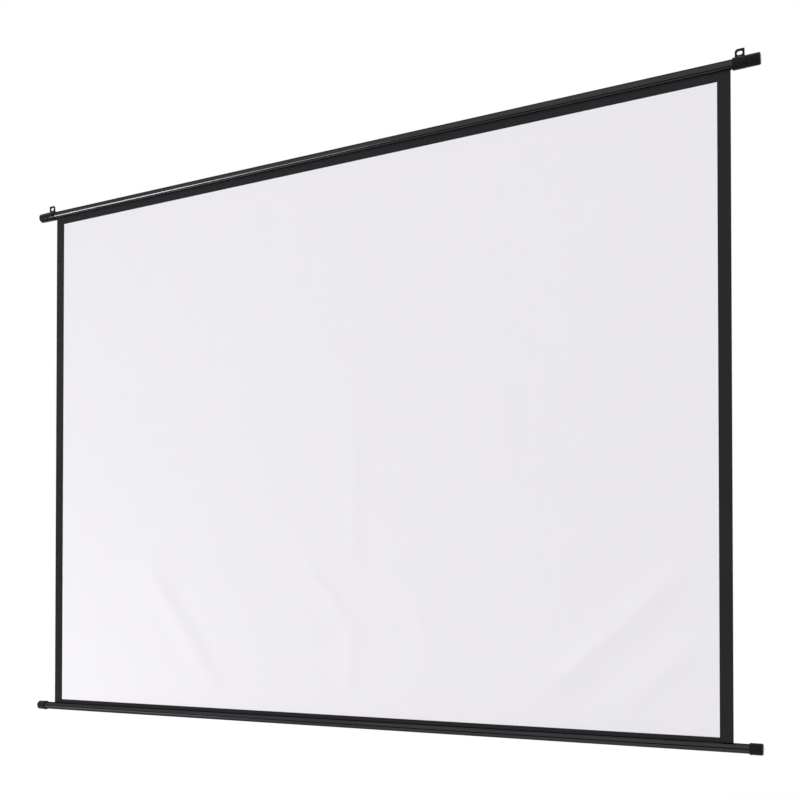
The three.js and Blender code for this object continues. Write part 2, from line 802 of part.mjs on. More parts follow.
// Motor: can, magnets, end bell and brushes
const motorCan = turned([
  [0, shaftRadius + slipGap],
  [canWall, shaftRadius + slipGap],
  [canWall, canBoreRadius],
  [canLength, canBoreRadius],
  [canLength, gearboxRadius],
  [0, gearboxRadius],
]);
add(leftEnd, 'motor_can', motorCan, steel, [motorStart, 0, 0]);

function magnet(direction) {
  const half = radians(magnetHalfAngle);
  const steps = smallSegments / 2;
  const outline = [
    ...arc([0, 0], magnetOuterRadius, direction - half, direction + half, steps),
    ...arc([0, 0], magnetInnerRadius, direction + half, direction - half, steps),
  ];
  return alongX(shapeOf(outline), 0, magnetLength);
}

const magnetPlace = motorStart + magnetStart;
add(leftEnd, 'magnet_upper', magnet(Math.PI / 2), magnetGrey, [magnetPlace, 0, 0]);
add(leftEnd, 'magnet_lower', magnet(-Math.PI / 2), magnetGrey, [magnetPlace, 0, 0]);

const bellPlugRadius = canBoreRadius - slipGap;
const brushPostThickness = (bellPlugRadius - commutatorRadius) * brushPostShare;
const brushOuter = bellPlugRadius - slipGap - brushPostThickness;
const brushLength = brushOuter - commutatorRadius - slipGap;

function endBell() {
  const bore = shaftRadius + slipGap;
  const body = turned([
    [-endBellPlug, bore],
    [endBellFlange + endBellBossLength, bore],
    [endBellFlange + endBellBossLength, endBellBossDiameter / 2],
    [endBellFlange, endBellBossDiameter / 2],
    [endBellFlange, gearboxRadius],
    [0, gearboxRadius],
    [0, bellPlugRadius],
    [-endBellPlug, bellPlugRadius],
  ]);
  const half = brushPostWidth / 2;
  const posts = [1, -1].map((side) => {
    const heights = [side * brushOuter, side * (brushOuter + brushPostThickness)];
    return block(
      [commutatorStart - motorEnd, -half, Math.min(...heights)],
      [-endBellPlug / 2, half, Math.max(...heights)],
    );
  });
  return join(body, ...posts);
}

add(leftEnd, 'end_bell', endBell(), whiteNylon, [motorEnd, 0, 0]);
for (const [name, side] of [['brush_upper', 1], ['brush_lower', -1]]) {
  const brush = new THREE.BoxGeometry(brushWidth, brushWidth, brushLength);
  const place = [commutatorStart + commutatorLength / 2, 0, side * (brushOuter - brushLength / 2)];
  add(leftEnd, name, brush, magnetGrey, place);
}

// Clamps of the gearmotor
const leftBack = backOf.get(leftEnd);
const motorBore = rod(-cutOverrun, clampLength + cutOverrun, gearboxRadius + snugGap, roundSegments);
const clampStarts = { motor_clamp_inner: innerClampStart, motor_clamp_outer: outerClampStart };
for (const [name, start] of Object.entries(clampStarts)) {
  add(leftEnd, name, clamp(clampLength, [motorBore], leftBack), blackPlastic, [start, 0, 0]);
}
add(leftEnd, 'motor_clamp_screw', clampScrew(leftBack), steel,
  [outerClampStart + clampLength / 2, leftBack * clampScrewTop, 0]);

// Control board on the end bell, with the push switch at its outer end
const board = block([0, -boardHalfWidth, -boardThickness], [boardLength, boardHalfWidth, 0]);
add(leftEnd, 'control_board', board, greenBoard, [bellRear, 0, -boardDrop]);
const switchHalf = switchSize / 2;
const switchBody = cut(
  block([0, -switchHalf, -switchHalf], [switchDepth, switchHalf, switchHalf]),
  rod(switchDepth - plungerBoreDepth, switchDepth + cutOverrun, plungerDiameter / 2 + slipGap),
);
add(leftEnd, 'push_switch', switchBody, blackPlastic, [switchStart, 0, switchHeight]);
const plungerStart = switchStart + switchDepth - plungerInside;
const plunger = rod(0, plungerLength, plungerDiameter / 2);
add(leftEnd, 'switch_plunger', plunger, whiteNylon, [plungerStart, 0, switchHeight]);

// Run button: its flange rests on the inside of the cap's end wall
const runButton = turned([
  [plungerStart + plungerLength - capInside, 0],
  [plungerStart + plungerLength - capInside, buttonStemDiameter / 2],
  [-buttonFlange, buttonStemDiameter / 2],
  [-buttonFlange, buttonFlangeDiameter / 2],
  [0, buttonFlangeDiameter / 2],
  [0, buttonDiameter / 2],
  [capEndWall + buttonProud, buttonDiameter / 2],
  [capEndWall + buttonProud, 0],
], smallSegments);
add(leftEnd, 'run_button', runButton, magnetGrey, [capInside, 0, switchHeight]);

// Inlet for the supply, with its centre pin
const inletBottom = capEndWall + inletFlange - inletDepth;
const inlet = turned([
  [inletBottom - inletBack, 0],
  [inletBottom - inletBack, inletDiameter / 2],
  [capEndWall, inletDiameter / 2],
  [capEndWall, inletFlangeDiameter / 2],
  [capEndWall + inletFlange, inletFlangeDiameter / 2],
  [capEndWall + inletFlange, inletBore / 2],
  [inletBottom, inletBore / 2],
  [inletBottom, inletPinDiameter / 2],
  [capEndWall + inletFlange - inletPinInset, inletPinDiameter / 2],
  [capEndWall + inletFlange - inletPinInset, 0],
], smallSegments);
add(leftEnd, 'dc_inlet', inlet, blackPlastic, [capInside, 0, inletHeight]);

// Lead along a quarter turn from a face that looks along X down to the board
function lead(from, side, height, reach) {
  const curve = new THREE.QuadraticBezierCurve3(
    new THREE.Vector3(0, side, height),
    new THREE.Vector3(reach, side, height),
    new THREE.Vector3(reach, side, -boardDrop + slipGap),
  );
  const section = shapeOf(circle(leadDiameter / 2, smallSegments / 2));
  const geometry = new THREE.ExtrudeGeometry(section, { extrudePath: curve, steps: leadSteps });
  return geometry.translate(from, 0, 0);
}

const inletRear = capInside + inletBottom - inletBack;
add(leftEnd, 'inlet_lead', lead(0, 0, inletHeight, -leadReach), blackPlastic, [inletRear - slipGap, 0, 0]);
const motorLead = lead(0, motorLeadSide, inletHeight, leadReach);
add(leftEnd, 'motor_lead', motorLead, blackPlastic, [bellRear + slipGap, 0, 0]);

// Fabric: it leaves the wraps at the back, slants to the slot and hangs from there to the weight bar
function projectionFabric() {
  const clearRadius = wrapOuterRadius + fabricThickness / 2 + slipGap;
  const bend = feltDrop - feltHeight / 2 - slipGap;
  const slant = Math.asin(clearRadius / bend);
  const slantLength = Math.sqrt(bend ** 2 - clearRadius ** 2);
  const leaving = [slantLength * Math.sin(slant), -bend + slantLength * Math.cos(slant)];
  const end = -barDrop + tubeBoreRadius + snugGap;
  return alongX(shapeOf(band([leaving, [0, -bend], [0, end]], fabricThickness)), -fabricHalf, fabricHalf);
}

add(screen, 'projection_fabric', projectionFabric(), whiteFabric);

// Weight bar: a channel under the slot holds the hem's spline
const channelOuter = hemChannelRadius + hemChannelWall;
const channelHeight = tubeBoreRadius - channelOuter + hemChannelBlend;
const hemInnerRadius = splineDiameter / 2 + snugGap;
const hemOuterRadius = hemInnerRadius + fabricThickness;
const splineHeight = channelHeight + hemChannelRadius - hemOuterRadius - snugGap;

function weightBarTube() {
  const halfTurn = radians(barGrooveAngle);
  const grooves = [Math.PI / 2 - halfTurn, Math.PI / 2 + halfTurn];
  const outline = groovedArc(tubeRadius, -Math.PI / 2, (3 * Math.PI) / 2, grooves).slice(0, -1);
  const ring = alongX(shapeOf(outline, [circle(tubeBoreRadius)]), -barHalf, barHalf);
  const channel = rod(-barHalf, barHalf, channelOuter).translate(0, 0, channelHeight);
  const bore = rod(-barHalf - cutOverrun, barHalf + cutOverrun, hemChannelRadius);
  const half = hemSlotWidth / 2;
  const slot = block(
    [-barHalf - cutOverrun, -half, channelHeight], [barHalf + cutOverrun, half, tubeRadius + cutOverrun],
  );
  const holes = screwHoles([barCapStart + capLength * capScrewPlaceShare], capScrewHole);
  return cut(join(ring, channel), bore.translate(0, 0, channelHeight), slot, ...holes);
}

add(weightBar, 'weight_bar_tube', weightBarTube(), blackPaint);
const hemSpline = rod(-fabricHalf, fabricHalf, splineDiameter / 2);
add(weightBar, 'hem_spline', hemSpline, whiteNylon, [0, 0, splineHeight]);

// Hem: two layers down from the slot, round the spline
function fabricHem() {
  const neck = Math.asin(fabricThickness / hemOuterRadius);
  const up = Math.PI / 2;
  const loop = arc([0, 0], hemOuterRadius, up + neck, up + 2 * Math.PI - neck, smallSegments);
  const top = tubeBoreRadius - splineHeight;
  const outline = [...loop, [fabricThickness, top], [-fabricThickness, top]];
  return alongX(shapeOf(outline, [circle(hemInnerRadius, smallSegments)]), -fabricHalf, fabricHalf);
}

add(weightBar, 'fabric_hem', fabricHem(), whiteFabric, [0, 0, splineHeight]);

const ballastHalf = barHalf - ballastEndGap;
const ballast = rod(-ballastHalf, ballastHalf, ballastDiameter / 2);
const ballastDrop = tubeBoreRadius - ballastDiameter / 2 - slipGap;
add(weightBar, 'ballast_rod', ballast, steel, [0, 0, -ballastDrop]);

addCap(barRightEnd, 'end_cap_bottom_right', 'cap_screw_bottom_right', barCapStart);
addCap(barLeftEnd, 'end_cap_bottom_left', 'cap_screw_bottom_left', barCapStart);

const part = new THREE.Group();
part.add(screen);

export default part;
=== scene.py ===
# A motorized projection screen: a slim black bar that hangs by two collars, the picture sheet
# and its weight bar. Metres, +Z up, X along the bars, and the picture faces -Y.

import math

import bmesh
import bpy
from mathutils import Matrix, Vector
from mathutils.geometry import tessellate_polygon


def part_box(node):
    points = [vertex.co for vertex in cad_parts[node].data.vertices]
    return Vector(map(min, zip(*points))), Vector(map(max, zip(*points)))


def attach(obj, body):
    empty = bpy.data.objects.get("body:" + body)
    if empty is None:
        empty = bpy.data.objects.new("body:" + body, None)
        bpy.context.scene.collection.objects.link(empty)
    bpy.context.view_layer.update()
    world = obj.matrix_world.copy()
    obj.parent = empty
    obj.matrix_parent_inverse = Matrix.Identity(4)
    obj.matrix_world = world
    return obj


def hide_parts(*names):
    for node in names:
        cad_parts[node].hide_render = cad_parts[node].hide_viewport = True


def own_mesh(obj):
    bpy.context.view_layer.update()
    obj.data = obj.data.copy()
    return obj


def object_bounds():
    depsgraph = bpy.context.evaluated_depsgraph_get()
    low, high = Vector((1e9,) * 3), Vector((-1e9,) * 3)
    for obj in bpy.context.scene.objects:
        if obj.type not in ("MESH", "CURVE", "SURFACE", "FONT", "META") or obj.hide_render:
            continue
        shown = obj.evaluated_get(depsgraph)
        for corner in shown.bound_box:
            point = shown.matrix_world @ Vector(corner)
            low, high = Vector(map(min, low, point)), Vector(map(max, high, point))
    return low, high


mm = 0.001
poleRadius = 1e-7  # a turned shape is closed at a point from here down

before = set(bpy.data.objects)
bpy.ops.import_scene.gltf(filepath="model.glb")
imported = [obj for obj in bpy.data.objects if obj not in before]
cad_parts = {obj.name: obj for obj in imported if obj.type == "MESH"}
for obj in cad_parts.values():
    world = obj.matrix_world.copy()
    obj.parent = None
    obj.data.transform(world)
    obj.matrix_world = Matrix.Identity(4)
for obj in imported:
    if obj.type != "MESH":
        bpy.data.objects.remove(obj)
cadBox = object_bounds()
scene = bpy.context.scene

cameraView = {
    "lens": 46.198,
    "sensor": 36.0,
    "place": (1.6992, -2.9466, -1.5121),
    "turn": 26.528,  # degrees from the square view towards the left end
    "pitch": 0.819,  # degrees up
    "shiftUp": 0.23,
}


def placeCamera(view):
    data = bpy.data.cameras.new("photoCamera")
    data.lens = view["lens"]
    data.sensor_width = view["sensor"]
    data.shift_y = view["shiftUp"]
    camera = bpy.data.objects.new("photoCamera", data)
    camera.location = view["place"]
    camera.rotation_euler = (math.radians(90 + view["pitch"]), 0, math.radians(view["turn"]))
    scene.collection.objects.link(camera)
    scene.camera = camera


placeCamera(cameraView)
print("camera placed")


# Nodes: a socket is either linked or given its value
def feed(tree, socket, value):
    if isinstance(value, bpy.types.NodeSocket):
        tree.links.new(value, socket)
    else:
        socket.default_value = value


def addNode(tree, kind, inputs=None, **settings):
    node = tree.nodes.new(kind)
    for key, value in settings.items():
        setattr(node, key, value)
    for key, value in (inputs or {}).items():
        feed(tree, node.inputs[key], value)
    return node


def maths(tree, operation, *values):
    return addNode(tree, "ShaderNodeMath", dict(enumerate(values)), operation=operation).outputs[0]


def fromScreen(red, green, blue):
    # Scene values of a colour that a screen shows as these numbers from 0 to 255
    def curve(value):
        share = value / 255
        return share / 12.92 if share <= 0.04045 else ((share + 0.055) / 1.055) ** 2.4

    return (curve(red), curve(green), curve(blue), 1)


def newMaterial(name, look):
    material = bpy.data.materials.new(name)
    material.use_nodes = True
    tree = material.node_tree
    shader = tree.nodes["Principled BSDF"]
    shader.inputs["Metallic"].default_value = look.get("metal", 0)
    shader.inputs["Specular IOR Level"].default_value = look.get("shine", 0.5)
    shader.inputs["Sheen Weight"].default_value = look.get("sheen", 0)
    shader.inputs["Coat Weight"].default_value = look.get("coat", 0)
    shader.inputs["Specular Tint"].default_value = look.get("rim", (1, 1, 1, 1))  # how a metal's rim shines
    where = addNode(tree, "ShaderNodeTexCoord").outputs["Object"]
    return material, tree, shader, where


def noise(tree, where, size, stretch=(1, 1, 1), detail=3):
    # Spots of about the given size, longer along an axis by its stretch
    placed = addNode(tree, "ShaderNodeMapping", {"Vector": where, "Scale": [1 / share for share in stretch]})
    return addNode(tree, "ShaderNodeTexNoise", {
        "Vector": placed.outputs[0], "Scale": 1 / size, "Detail": detail,
    }).outputs["Fac"]


def spread(tree, value, low, high, fromLow=0.3, fromHigh=0.7, **settings):
    return addNode(tree, "ShaderNodeMapRange", {
        "Value": value, "From Min": fromLow, "From Max": fromHigh, "To Min": low, "To Max": high,
    }, **settings).outputs["Result"]


def smooth(tree, value, start, end):
    return spread(tree, value, 0, 1, start, end, interpolation_type="SMOOTHSTEP")


def product(tree, *values):
    total = values[0]
    for value in values[1:]:
        total = maths(tree, "MULTIPLY", total, value)
    return total


def bands(tree, where, period, wander, direction):
    # Stripes of the given period, which is pi / 10 where the node's scale is 1
    return addNode(tree, "ShaderNodeTexWave", {
        "Vector": where, "Scale": math.pi / 10 / period, "Distortion": wander, "Detail": 1,
    }, bands_direction=direction).outputs["Fac"]


def mixColours(tree, share, first, second):
    inputs = {0: share, 6: fromScreen(*first), 7: fromScreen(*second)}
    return addNode(tree, "ShaderNodeMix", inputs, data_type="RGBA").outputs[2]


def addRelief(tree, height, depth, below=None):
    node = addNode(tree, "ShaderNodeBump", {"Height": height, "Distance": depth})
    if below:
        feed(tree, node.inputs["Normal"], below)
    return node.outputs[0]


# A finish whose colour and gloss drift in patches and whose surface has a fine grain
def plainFinish(name, look):
    material, tree, shader, where = newMaterial(name, look)
    stretch = look.get("stretch", (1, 1, 1))
    patches = noise(tree, where, look["patch"], stretch, detail=4)
    colour = mixColours(tree, spread(tree, patches, 0, 1), look["colour"], look["second"])
    feed(tree, shader.inputs["Base Color"], colour)
    wear = noise(tree, where, look["patch"] / 3, stretch, detail=5)
    low, high = look["roughness"]
    feed(tree, shader.inputs["Roughness"], spread(tree, wear, low, high))
    grain = noise(tree, where, look["grain"], stretch, detail=2)
    feed(tree, shader.inputs["Normal"], addRelief(tree, grain, look["grainDepth"]))
    return material


finishes = {
    "barPaint": {
        "colour": (58, 57, 59), "second": (54, 53, 54), "patch": 60 * mm, "metal": 1,
        "rim": (0.4, 0.4, 0.4, 1), "roughness": (0.2, 0.24), "grain": 0.7 * mm, "grainDepth": 0.0008 * mm,
        "stretch": (6, 1, 1),
    },
    # Painted shade: a near-black matt paint that stands in for the shade in the grooves and on the slot's
    # edges
    "grooveShade": {
        "colour": (9, 9, 10), "second": (13, 13, 14), "patch": 20 * mm,
        "roughness": (0.7, 0.85), "shine": 0.03, "grain": 0.5 * mm, "grainDepth": 0.02 * mm,
    },
    "mouldedBlack": {
        "colour": (21, 19, 18), "second": (27, 25, 24), "patch": 12 * mm,
        "roughness": (0.16, 0.21), "shine": 0.08, "grain": 0.45 * mm, "grainDepth": 0.001 * mm,
    },
    "buttonGrey": {
        "colour": (70, 70, 74), "second": (78, 78, 82), "patch": 4 * mm,
        "roughness": (0.5, 0.6), "shine": 0.4, "grain": 0.3 * mm, "grainDepth": 0.015 * mm,
    },
    "leadRubber": {
        "colour": (24, 24, 25), "second": (31, 31, 32), "patch": 5 * mm,
        "roughness": (0.55, 0.7), "shine": 0.35, "grain": 0.4 * mm, "grainDepth": 0.02 * mm,
    },
    "darkFelt": {
        "colour": (48, 48, 49), "second": (66, 66, 67), "patch": 1.4 * mm,
        "roughness": (0.9, 1), "shine": 0.1, "sheen": 0.4, "grain": 0.25 * mm, "grainDepth": 0.12 * mm,
        "stretch": (4, 1, 1),
    },
    "drawnAluminium": {
        "colour": (185, 187, 189), "second": (172, 174, 177), "patch": 14 * mm,
        "roughness": (0.3, 0.42), "metal": 1, "grain": 0.25 * mm, "grainDepth": 0.006 * mm,
        "stretch": (30, 1, 1),
    },
    "platedSteel": {
        "colour": (156, 158, 162), "second": (142, 143, 148), "patch": 6 * mm,
        "roughness": (0.26, 0.38), "metal": 1, "grain": 0.2 * mm, "grainDepth": 0.004 * mm,
        "stretch": (3, 1, 1),
    },
    "sinteredBronze": {
        "colour": (176, 141, 79), "second": (150, 116, 64), "patch": 3 * mm,
        "roughness": (0.38, 0.55), "metal": 1, "grain": 0.18 * mm, "grainDepth": 0.015 * mm,
    },
    "sandyFerrite": {
        "colour": (70, 70, 76), "second": (82, 81, 86), "patch": 2 * mm,
        "roughness": (0.6, 0.75), "shine": 0.4, "grain": 0.15 * mm, "grainDepth": 0.02 * mm,
    },
    "whiteNylon": {
        "colour": (216, 214, 207), "second": (208, 205, 196), "patch": 4 * mm,
        "roughness": (0.45, 0.55), "shine": 0.45, "grain": 0.3 * mm, "grainDepth": 0.006 * mm,
    },
    "solderMask": {
        "colour": (31, 90, 53), "second": (38, 104, 62), "patch": 2.5 * mm,
        "roughness": (0.3, 0.4), "shine": 0.5, "coat": 0.3, "grain": 0.5 * mm, "grainDepth": 0.01 * mm,
    },
}
finish = {name: plainFinish(name, look) for name, look in finishes.items()}


# Enamelled wire laid side by side round the core, with painted shade in the gaps between the turns
windingLook = {
    "colour": (188, 101, 56), "second": (120, 56, 28), "roughness": 0.32, "metal": 1,
    "wire": 0.35 * mm, "wireDepth": 0.08 * mm, "wander": 1.5,
}


def windingFinish(look):
    material, tree, shader, where = newMaterial("windingWire", look)
    shader.inputs["Roughness"].default_value = look["roughness"]
    turns = bands(tree, where, look["wire"], look["wander"], "DIAGONAL")
    # Painted shade: the stripes darken the colour in the gaps between the turns
    feed(tree, shader.inputs["Base Color"], mixColours(tree, turns, look["second"], look["colour"]))
    feed(tree, shader.inputs["Normal"], addRelief(tree, turns, look["wireDepth"]))
    return material


finish["windingWire"] = windingFinish(windingLook)

# Coated cloth: fine crossing threads under the coat, and a faint grain
clothLook = {
    "thread": 0.7 * mm, "threadDepth": 0.02 * mm, "wander": 0.6,
    "grain": 4 * mm, "grainDepth": 0.03 * mm, "blotch": 160 * mm,
}
clothColours = {
    "sheetWhite": {
        "colour": (236, 234, 239), "second": (235, 233, 238),
        "roughness": 0.85, "shine": 0.1,
    },
    "sheetBorder": {
        "colour": (41, 38, 41), "second": (44, 42, 44),
        "roughness": 0.8, "shine": 0.03,
    },
    "sheetBacking": {
        "colour": (58, 58, 60), "second": (66, 66, 68),
        "roughness": 0.75, "shine": 0.15,
    },
}


def clothFinish(name, cloth, look):
    material, tree, shader, where = newMaterial(name, look)
    shader.inputs["Roughness"].default_value = look["roughness"]
    threads = [bands(tree, where, cloth["thread"], cloth["wander"], way) for way in ("X", "Z")]
    blotches = noise(tree, where, cloth["blotch"])
    specks = noise(tree, where, cloth["grain"], detail=2)
    tint = product(tree, maths(tree, "ADD", blotches, specks), 0.5)
    colour = mixColours(tree, spread(tree, tint, 0, 1), look["colour"], look["second"])
    feed(tree, shader.inputs["Base Color"], colour)
    soft = addRelief(tree, specks, cloth["grainDepth"])
    weave = maths(tree, "MAXIMUM", *threads)
    feed(tree, shader.inputs["Normal"], addRelief(tree, weave, cloth["threadDepth"], soft))
    return material


for clothName, clothColour in clothColours.items():
    finish[clothName] = clothFinish(clothName, clothLook, clothColour)
print("finishes mixed:", len(finish))


# Meshes: closed shells, turned outwards by their volume
def shadeSmooth(mesh, sharpAngle=32):
    mesh.shade_smooth()
    mesh.set_sharp_from_angle(angle=math.radians(sharpAngle))


def newPiece(name, mesh):
    piece = bpy.data.objects.new(name, mesh)
    scene.collection.objects.link(piece)
    return piece


def shellPiece(name, points, faces, materials, slots=None):
    mesh = bpy.data.meshes.new(name)
    mesh.from_pydata([tuple(point) for point in points], [], faces)
    for material in materials:
        mesh.materials.append(finish[material])
    if slots:
        mesh.polygons.foreach_set("material_index", slots)
    shell = bmesh.new()
    shell.from_mesh(mesh)
    bmesh.ops.recalc_face_normals(shell, faces=shell.faces)
    if shell.calc_volume(signed=True) < 0:
        bmesh.ops.reverse_faces(shell, faces=shell.faces)
    shell.to_mesh(mesh)
    shell.free()
    shadeSmooth(mesh)
    return newPiece(name, mesh)


def settle(piece):
    # The piece as its modifiers leave it, as a plain mesh
    depsgraph = bpy.context.evaluated_depsgraph_get()
    mesh = bpy.data.meshes.new_from_object(piece.evaluated_get(depsgraph))
    piece.modifiers.clear()
    spent = piece.data
    piece.data = mesh
    mesh.name = piece.name
    bpy.data.meshes.remove(spent)
    return piece


def combine(piece, others, operation):
    for other in others:
        modifier = piece.modifiers.new("combine", "BOOLEAN")
        modifier.object = other
        modifier.operation = operation
        modifier.solver = "EXACT"
    settle(piece)
    for other in others:
        spent = other.data
        bpy.data.objects.remove(other)
        bpy.data.meshes.remove(spent)
    shadeSmooth(piece.data)
    return piece


def rounded(corners, steps=4):
    # Outline through (a, b, rounding) corners, with an arc of that radius in each
    outline = []
    for index, (a, b, radius) in enumerate(corners):
        here = Vector((a, b))
        if not radius:
            outline.append(here)
            continue
        back = (Vector(corners[index - 1][:2]) - here).normalized()
        ahead = (Vector(corners[(index + 1) % len(corners)][:2]) - here).normalized()
        half = back.angle(ahead) / 2
        middle = here + (back + ahead).normalized() * radius / math.sin(half)
        start = here + back * radius / math.tan(half) - middle
        end = here + ahead * radius / math.tan(half) - middle
        turn = math.copysign(math.pi - 2 * half, start.cross(end))
        for step in range(steps + 1):
            angle = turn * step / steps
            outline.append(middle + Vector((
                start.x * math.cos(angle) - start.y * math.sin(angle),
                start.x * math.sin(angle) + start.y * math.cos(angle),
            )))
    return outline


def turned(name, outline, place, axis, materials, segments=72):
    # Outline of (along, radius) points turned about the axis, which is a unit vector through the place
    along = Vector(axis)
    across = along.orthogonal().normalized()
    third = along.cross(across)
    points, rings = [], []
    for distance, radius in outline:
        middle = Vector(place) + along * distance
        if radius < poleRadius:
            rings.append([len(points)])
            points.append(middle)
            continue
        rings.append(list(range(len(points), len(points) + segments)))
        for step in range(segments):
            angle = 2 * math.pi * step / segments
            points.append(middle + (across * math.cos(angle) + third * math.sin(angle)) * radius)
    faces = []
    for first, second in zip(rings, rings[1:] + rings[:1]):
        for step in range(segments if len(first) + len(second) > 2 else 0):
            after = (step + 1) % segments
            corners = [first[step % len(first)], first[after % len(first)]]
            corners += [second[after % len(second)], second[step % len(second)]]
            faces.append(list(dict.fromkeys(corners)))
    return shellPiece(name, points, faces, materials)


def extruded(name, loops, sections, place, materials, slotOf=None):
    # Loops of (u, v) points, the first round the others
    # A section is how far the loops shift inwards, and the function that puts them in space
    points, faces, slots = [], [], []
    for inward, toSpace in sections:
        for loop in loops:
            for index, here in enumerate(loop):
                side = (loop[(index + 1) % len(loop)] - loop[index - 1]).normalized()
                moved = here + Vector((-side.y, side.x)) * inward
                points.append(Vector(place) + toSpace(moved.x, moved.y))
    count = sum(len(loop) for loop in loops)
    for section in range(len(sections) - 1):
        base = section * count
        for loop in loops:
            for index in range(len(loop)):
                first, second = base + index, base + (index + 1) % len(loop)
                faces.append([first, second, second + count, first + count])
                slots.append(slotOf(loop[index], loop[(index + 1) % len(loop)]) if slotOf else 0)
            base += len(loop)
    flat = tessellate_polygon([[Vector((here.x, here.y, 0)) for here in loop] for loop in loops])
    for base in (0, (len(sections) - 1) * count):
        for triangle in flat:
            faces.append([base + corner for corner in triangle])
            slots.append(0)
    return shellPiece(name, points, faces, materials, slots)


def circlePoints(radius, start, end, steps, middle=(0, 0)):
    return [
        Vector((middle[0] + radius * math.cos(angle), middle[1] + radius * math.sin(angle)))
        for angle in (start + (end - start) * step / steps for step in range(steps + 1))
    ]


def standFor(piece, body, slot, *nodes):
    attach(piece, body)
    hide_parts(*nodes)
    return piece


# Tubes: a ring with an open slot and a long groove on each side
housingLow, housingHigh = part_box("housing_tube")
barLow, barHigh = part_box("weight_bar_tube")
housingAxis = (housingLow.z + housingHigh.z) / 2
barAxis = (barLow.z + barHigh.z) / 2
tubeShape = {
    "radius": 13.5 * mm, "bore": 12.5 * mm, "steps": 144,
    "grooveTop": 2.8 * mm, "grooveFloor": 2 * mm, "grooveDepth": 0.7 * mm, "shoulder": 0.15 * mm,
    "grooveClearShare": 0.6, "lipClearShare": 0.72, "paintInside": 0.05 * mm, "paintOutside": 0.08 * mm,
}
housingShape = {"slot": 3 * mm, "slotTowards": -90, "grooves": (-139, -41), "lip": 0.3 * mm}
barShape = {
    "slot": 2.4 * mm, "slotTowards": 90, "grooves": (0, 180), "lip": 0.3 * mm,
    "channel": 3.1 * mm, "channelOuter": 4 * mm, "channelHeight": 9.1 * mm, "channelSteps": 48,
}


def ringCorners(tube, shape):
    # Corners of the outside, from one lip of the slot round to the other
    slotAngle = math.radians(shape["slotTowards"])
    lipAngle = math.asin(shape["slot"] / 2 / tube["radius"])
    start, end = slotAngle + lipAngle, slotAngle + 2 * math.pi - lipAngle
    halfTop = tube["grooveTop"] / 2 / tube["radius"]
    halfFloor = tube["grooveFloor"] / 2 / tube["radius"]
    floorRadius = tube["radius"] - tube["grooveDepth"]
    stops = [(start, tube["radius"], shape["lip"]), (end, tube["radius"], shape["lip"])]
    centres = []
    for degrees in shape["grooves"]:
        centre = math.radians(degrees)
        while centre < start:
            centre += 2 * math.pi
        centres.append(centre)
        stops += [
            (centre - halfTop, tube["radius"], tube["shoulder"]), (centre - halfFloor, floorRadius, 0),
            (centre + halfFloor, floorRadius, 0), (centre + halfTop, tube["radius"], tube["shoulder"]),
        ]
    step = 2 * math.pi / tube["steps"]
    grooveReach = halfTop + tube["grooveClearShare"] * step
    lipReach = tube["lipClearShare"] * step
    for index in range(tube["steps"]):
        angle = start + index * step
        inGroove = any(abs(angle - centre) < grooveReach for centre in centres)
        if start + lipReach < angle < end - lipReach and not inGroove:
            stops.append((angle, tube["radius"], 0))
    return [(r * math.cos(a), r * math.sin(a), rounding) for a, r, rounding in sorted(stops)]


def grooveSlot(tube):
    # The second material, a painted shade, in the grooves and the slot's edges
    def slotOf(first, second):
        middle = ((first + second) / 2).length
        return int(tube["bore"] + tube["paintInside"] < middle < tube["radius"] - tube["paintOutside"])

    return slotOf


def alongBar(low, high):
    return [(0, lambda a, b, x=x: Vector((x, a, b))) for x in (low, high)]


def groovedBar(name, loops, low, high):
    return extruded(
        name, loops, alongBar(low.x, high.x), (0, 0, (low.z + high.z) / 2), ["barPaint", "grooveShade"],
        grooveSlot(tubeShape),
    )


def housingTube():
    outside = rounded(ringCorners(tubeShape, housingShape))
    slotAngle = math.radians(housingShape["slotTowards"])
    innerLip = math.asin(housingShape["slot"] / 2 / tubeShape["bore"])
    inside = circlePoints(
        tubeShape["bore"], slotAngle + 2 * math.pi - innerLip, slotAngle + innerLip, tubeShape["steps"],
    )
    return groovedBar("housingTube", [outside + inside], housingLow, housingHigh)


def weightBarTube():
    shape, bore = barShape, tubeShape["bore"]
    middle, steps = (0, shape["channelHeight"]), shape["channelSteps"]
    neck = math.acos(shape["slot"] / 2 / shape["channel"])
    channel = circlePoints(shape["channel"], neck, -math.pi - neck, steps, middle)
    reach = (bore**2 - shape["channelOuter"] ** 2 + middle[1] ** 2) / (2 * middle[1])
    meet = math.acos(reach / bore)
    side = math.atan2(reach - middle[1], bore * math.sin(meet))
    hollow = circlePoints(bore, math.pi / 2 + meet, 2.5 * math.pi - meet, tubeShape["steps"])
    hollow += circlePoints(shape["channelOuter"], side, -math.pi - side, steps, middle)[1:-1]
    outside = rounded(ringCorners(tubeShape, shape))
    return groovedBar("weightBarTube", [outside + channel, hollow[::-1]], barLow, barHigh)


def screwCutter(x, z, shape):
    # A stepped round cutter that points to the back: the stem's hole, then the seat of the head
    inner, outer = shape["cutterReach"]
    outline = [
        (inner, 0), (inner, shape["stemRadius"]), (shape["seatDepthRadius"], shape["stemRadius"]),
        (shape["seatDepthRadius"], shape["seatRadius"]), (outer, shape["seatRadius"]), (outer, 0),
    ]
    return turned("cutter", outline, (x, 0, z), (0, 1, 0), ["mouldedBlack"], shape["seatSegments"])


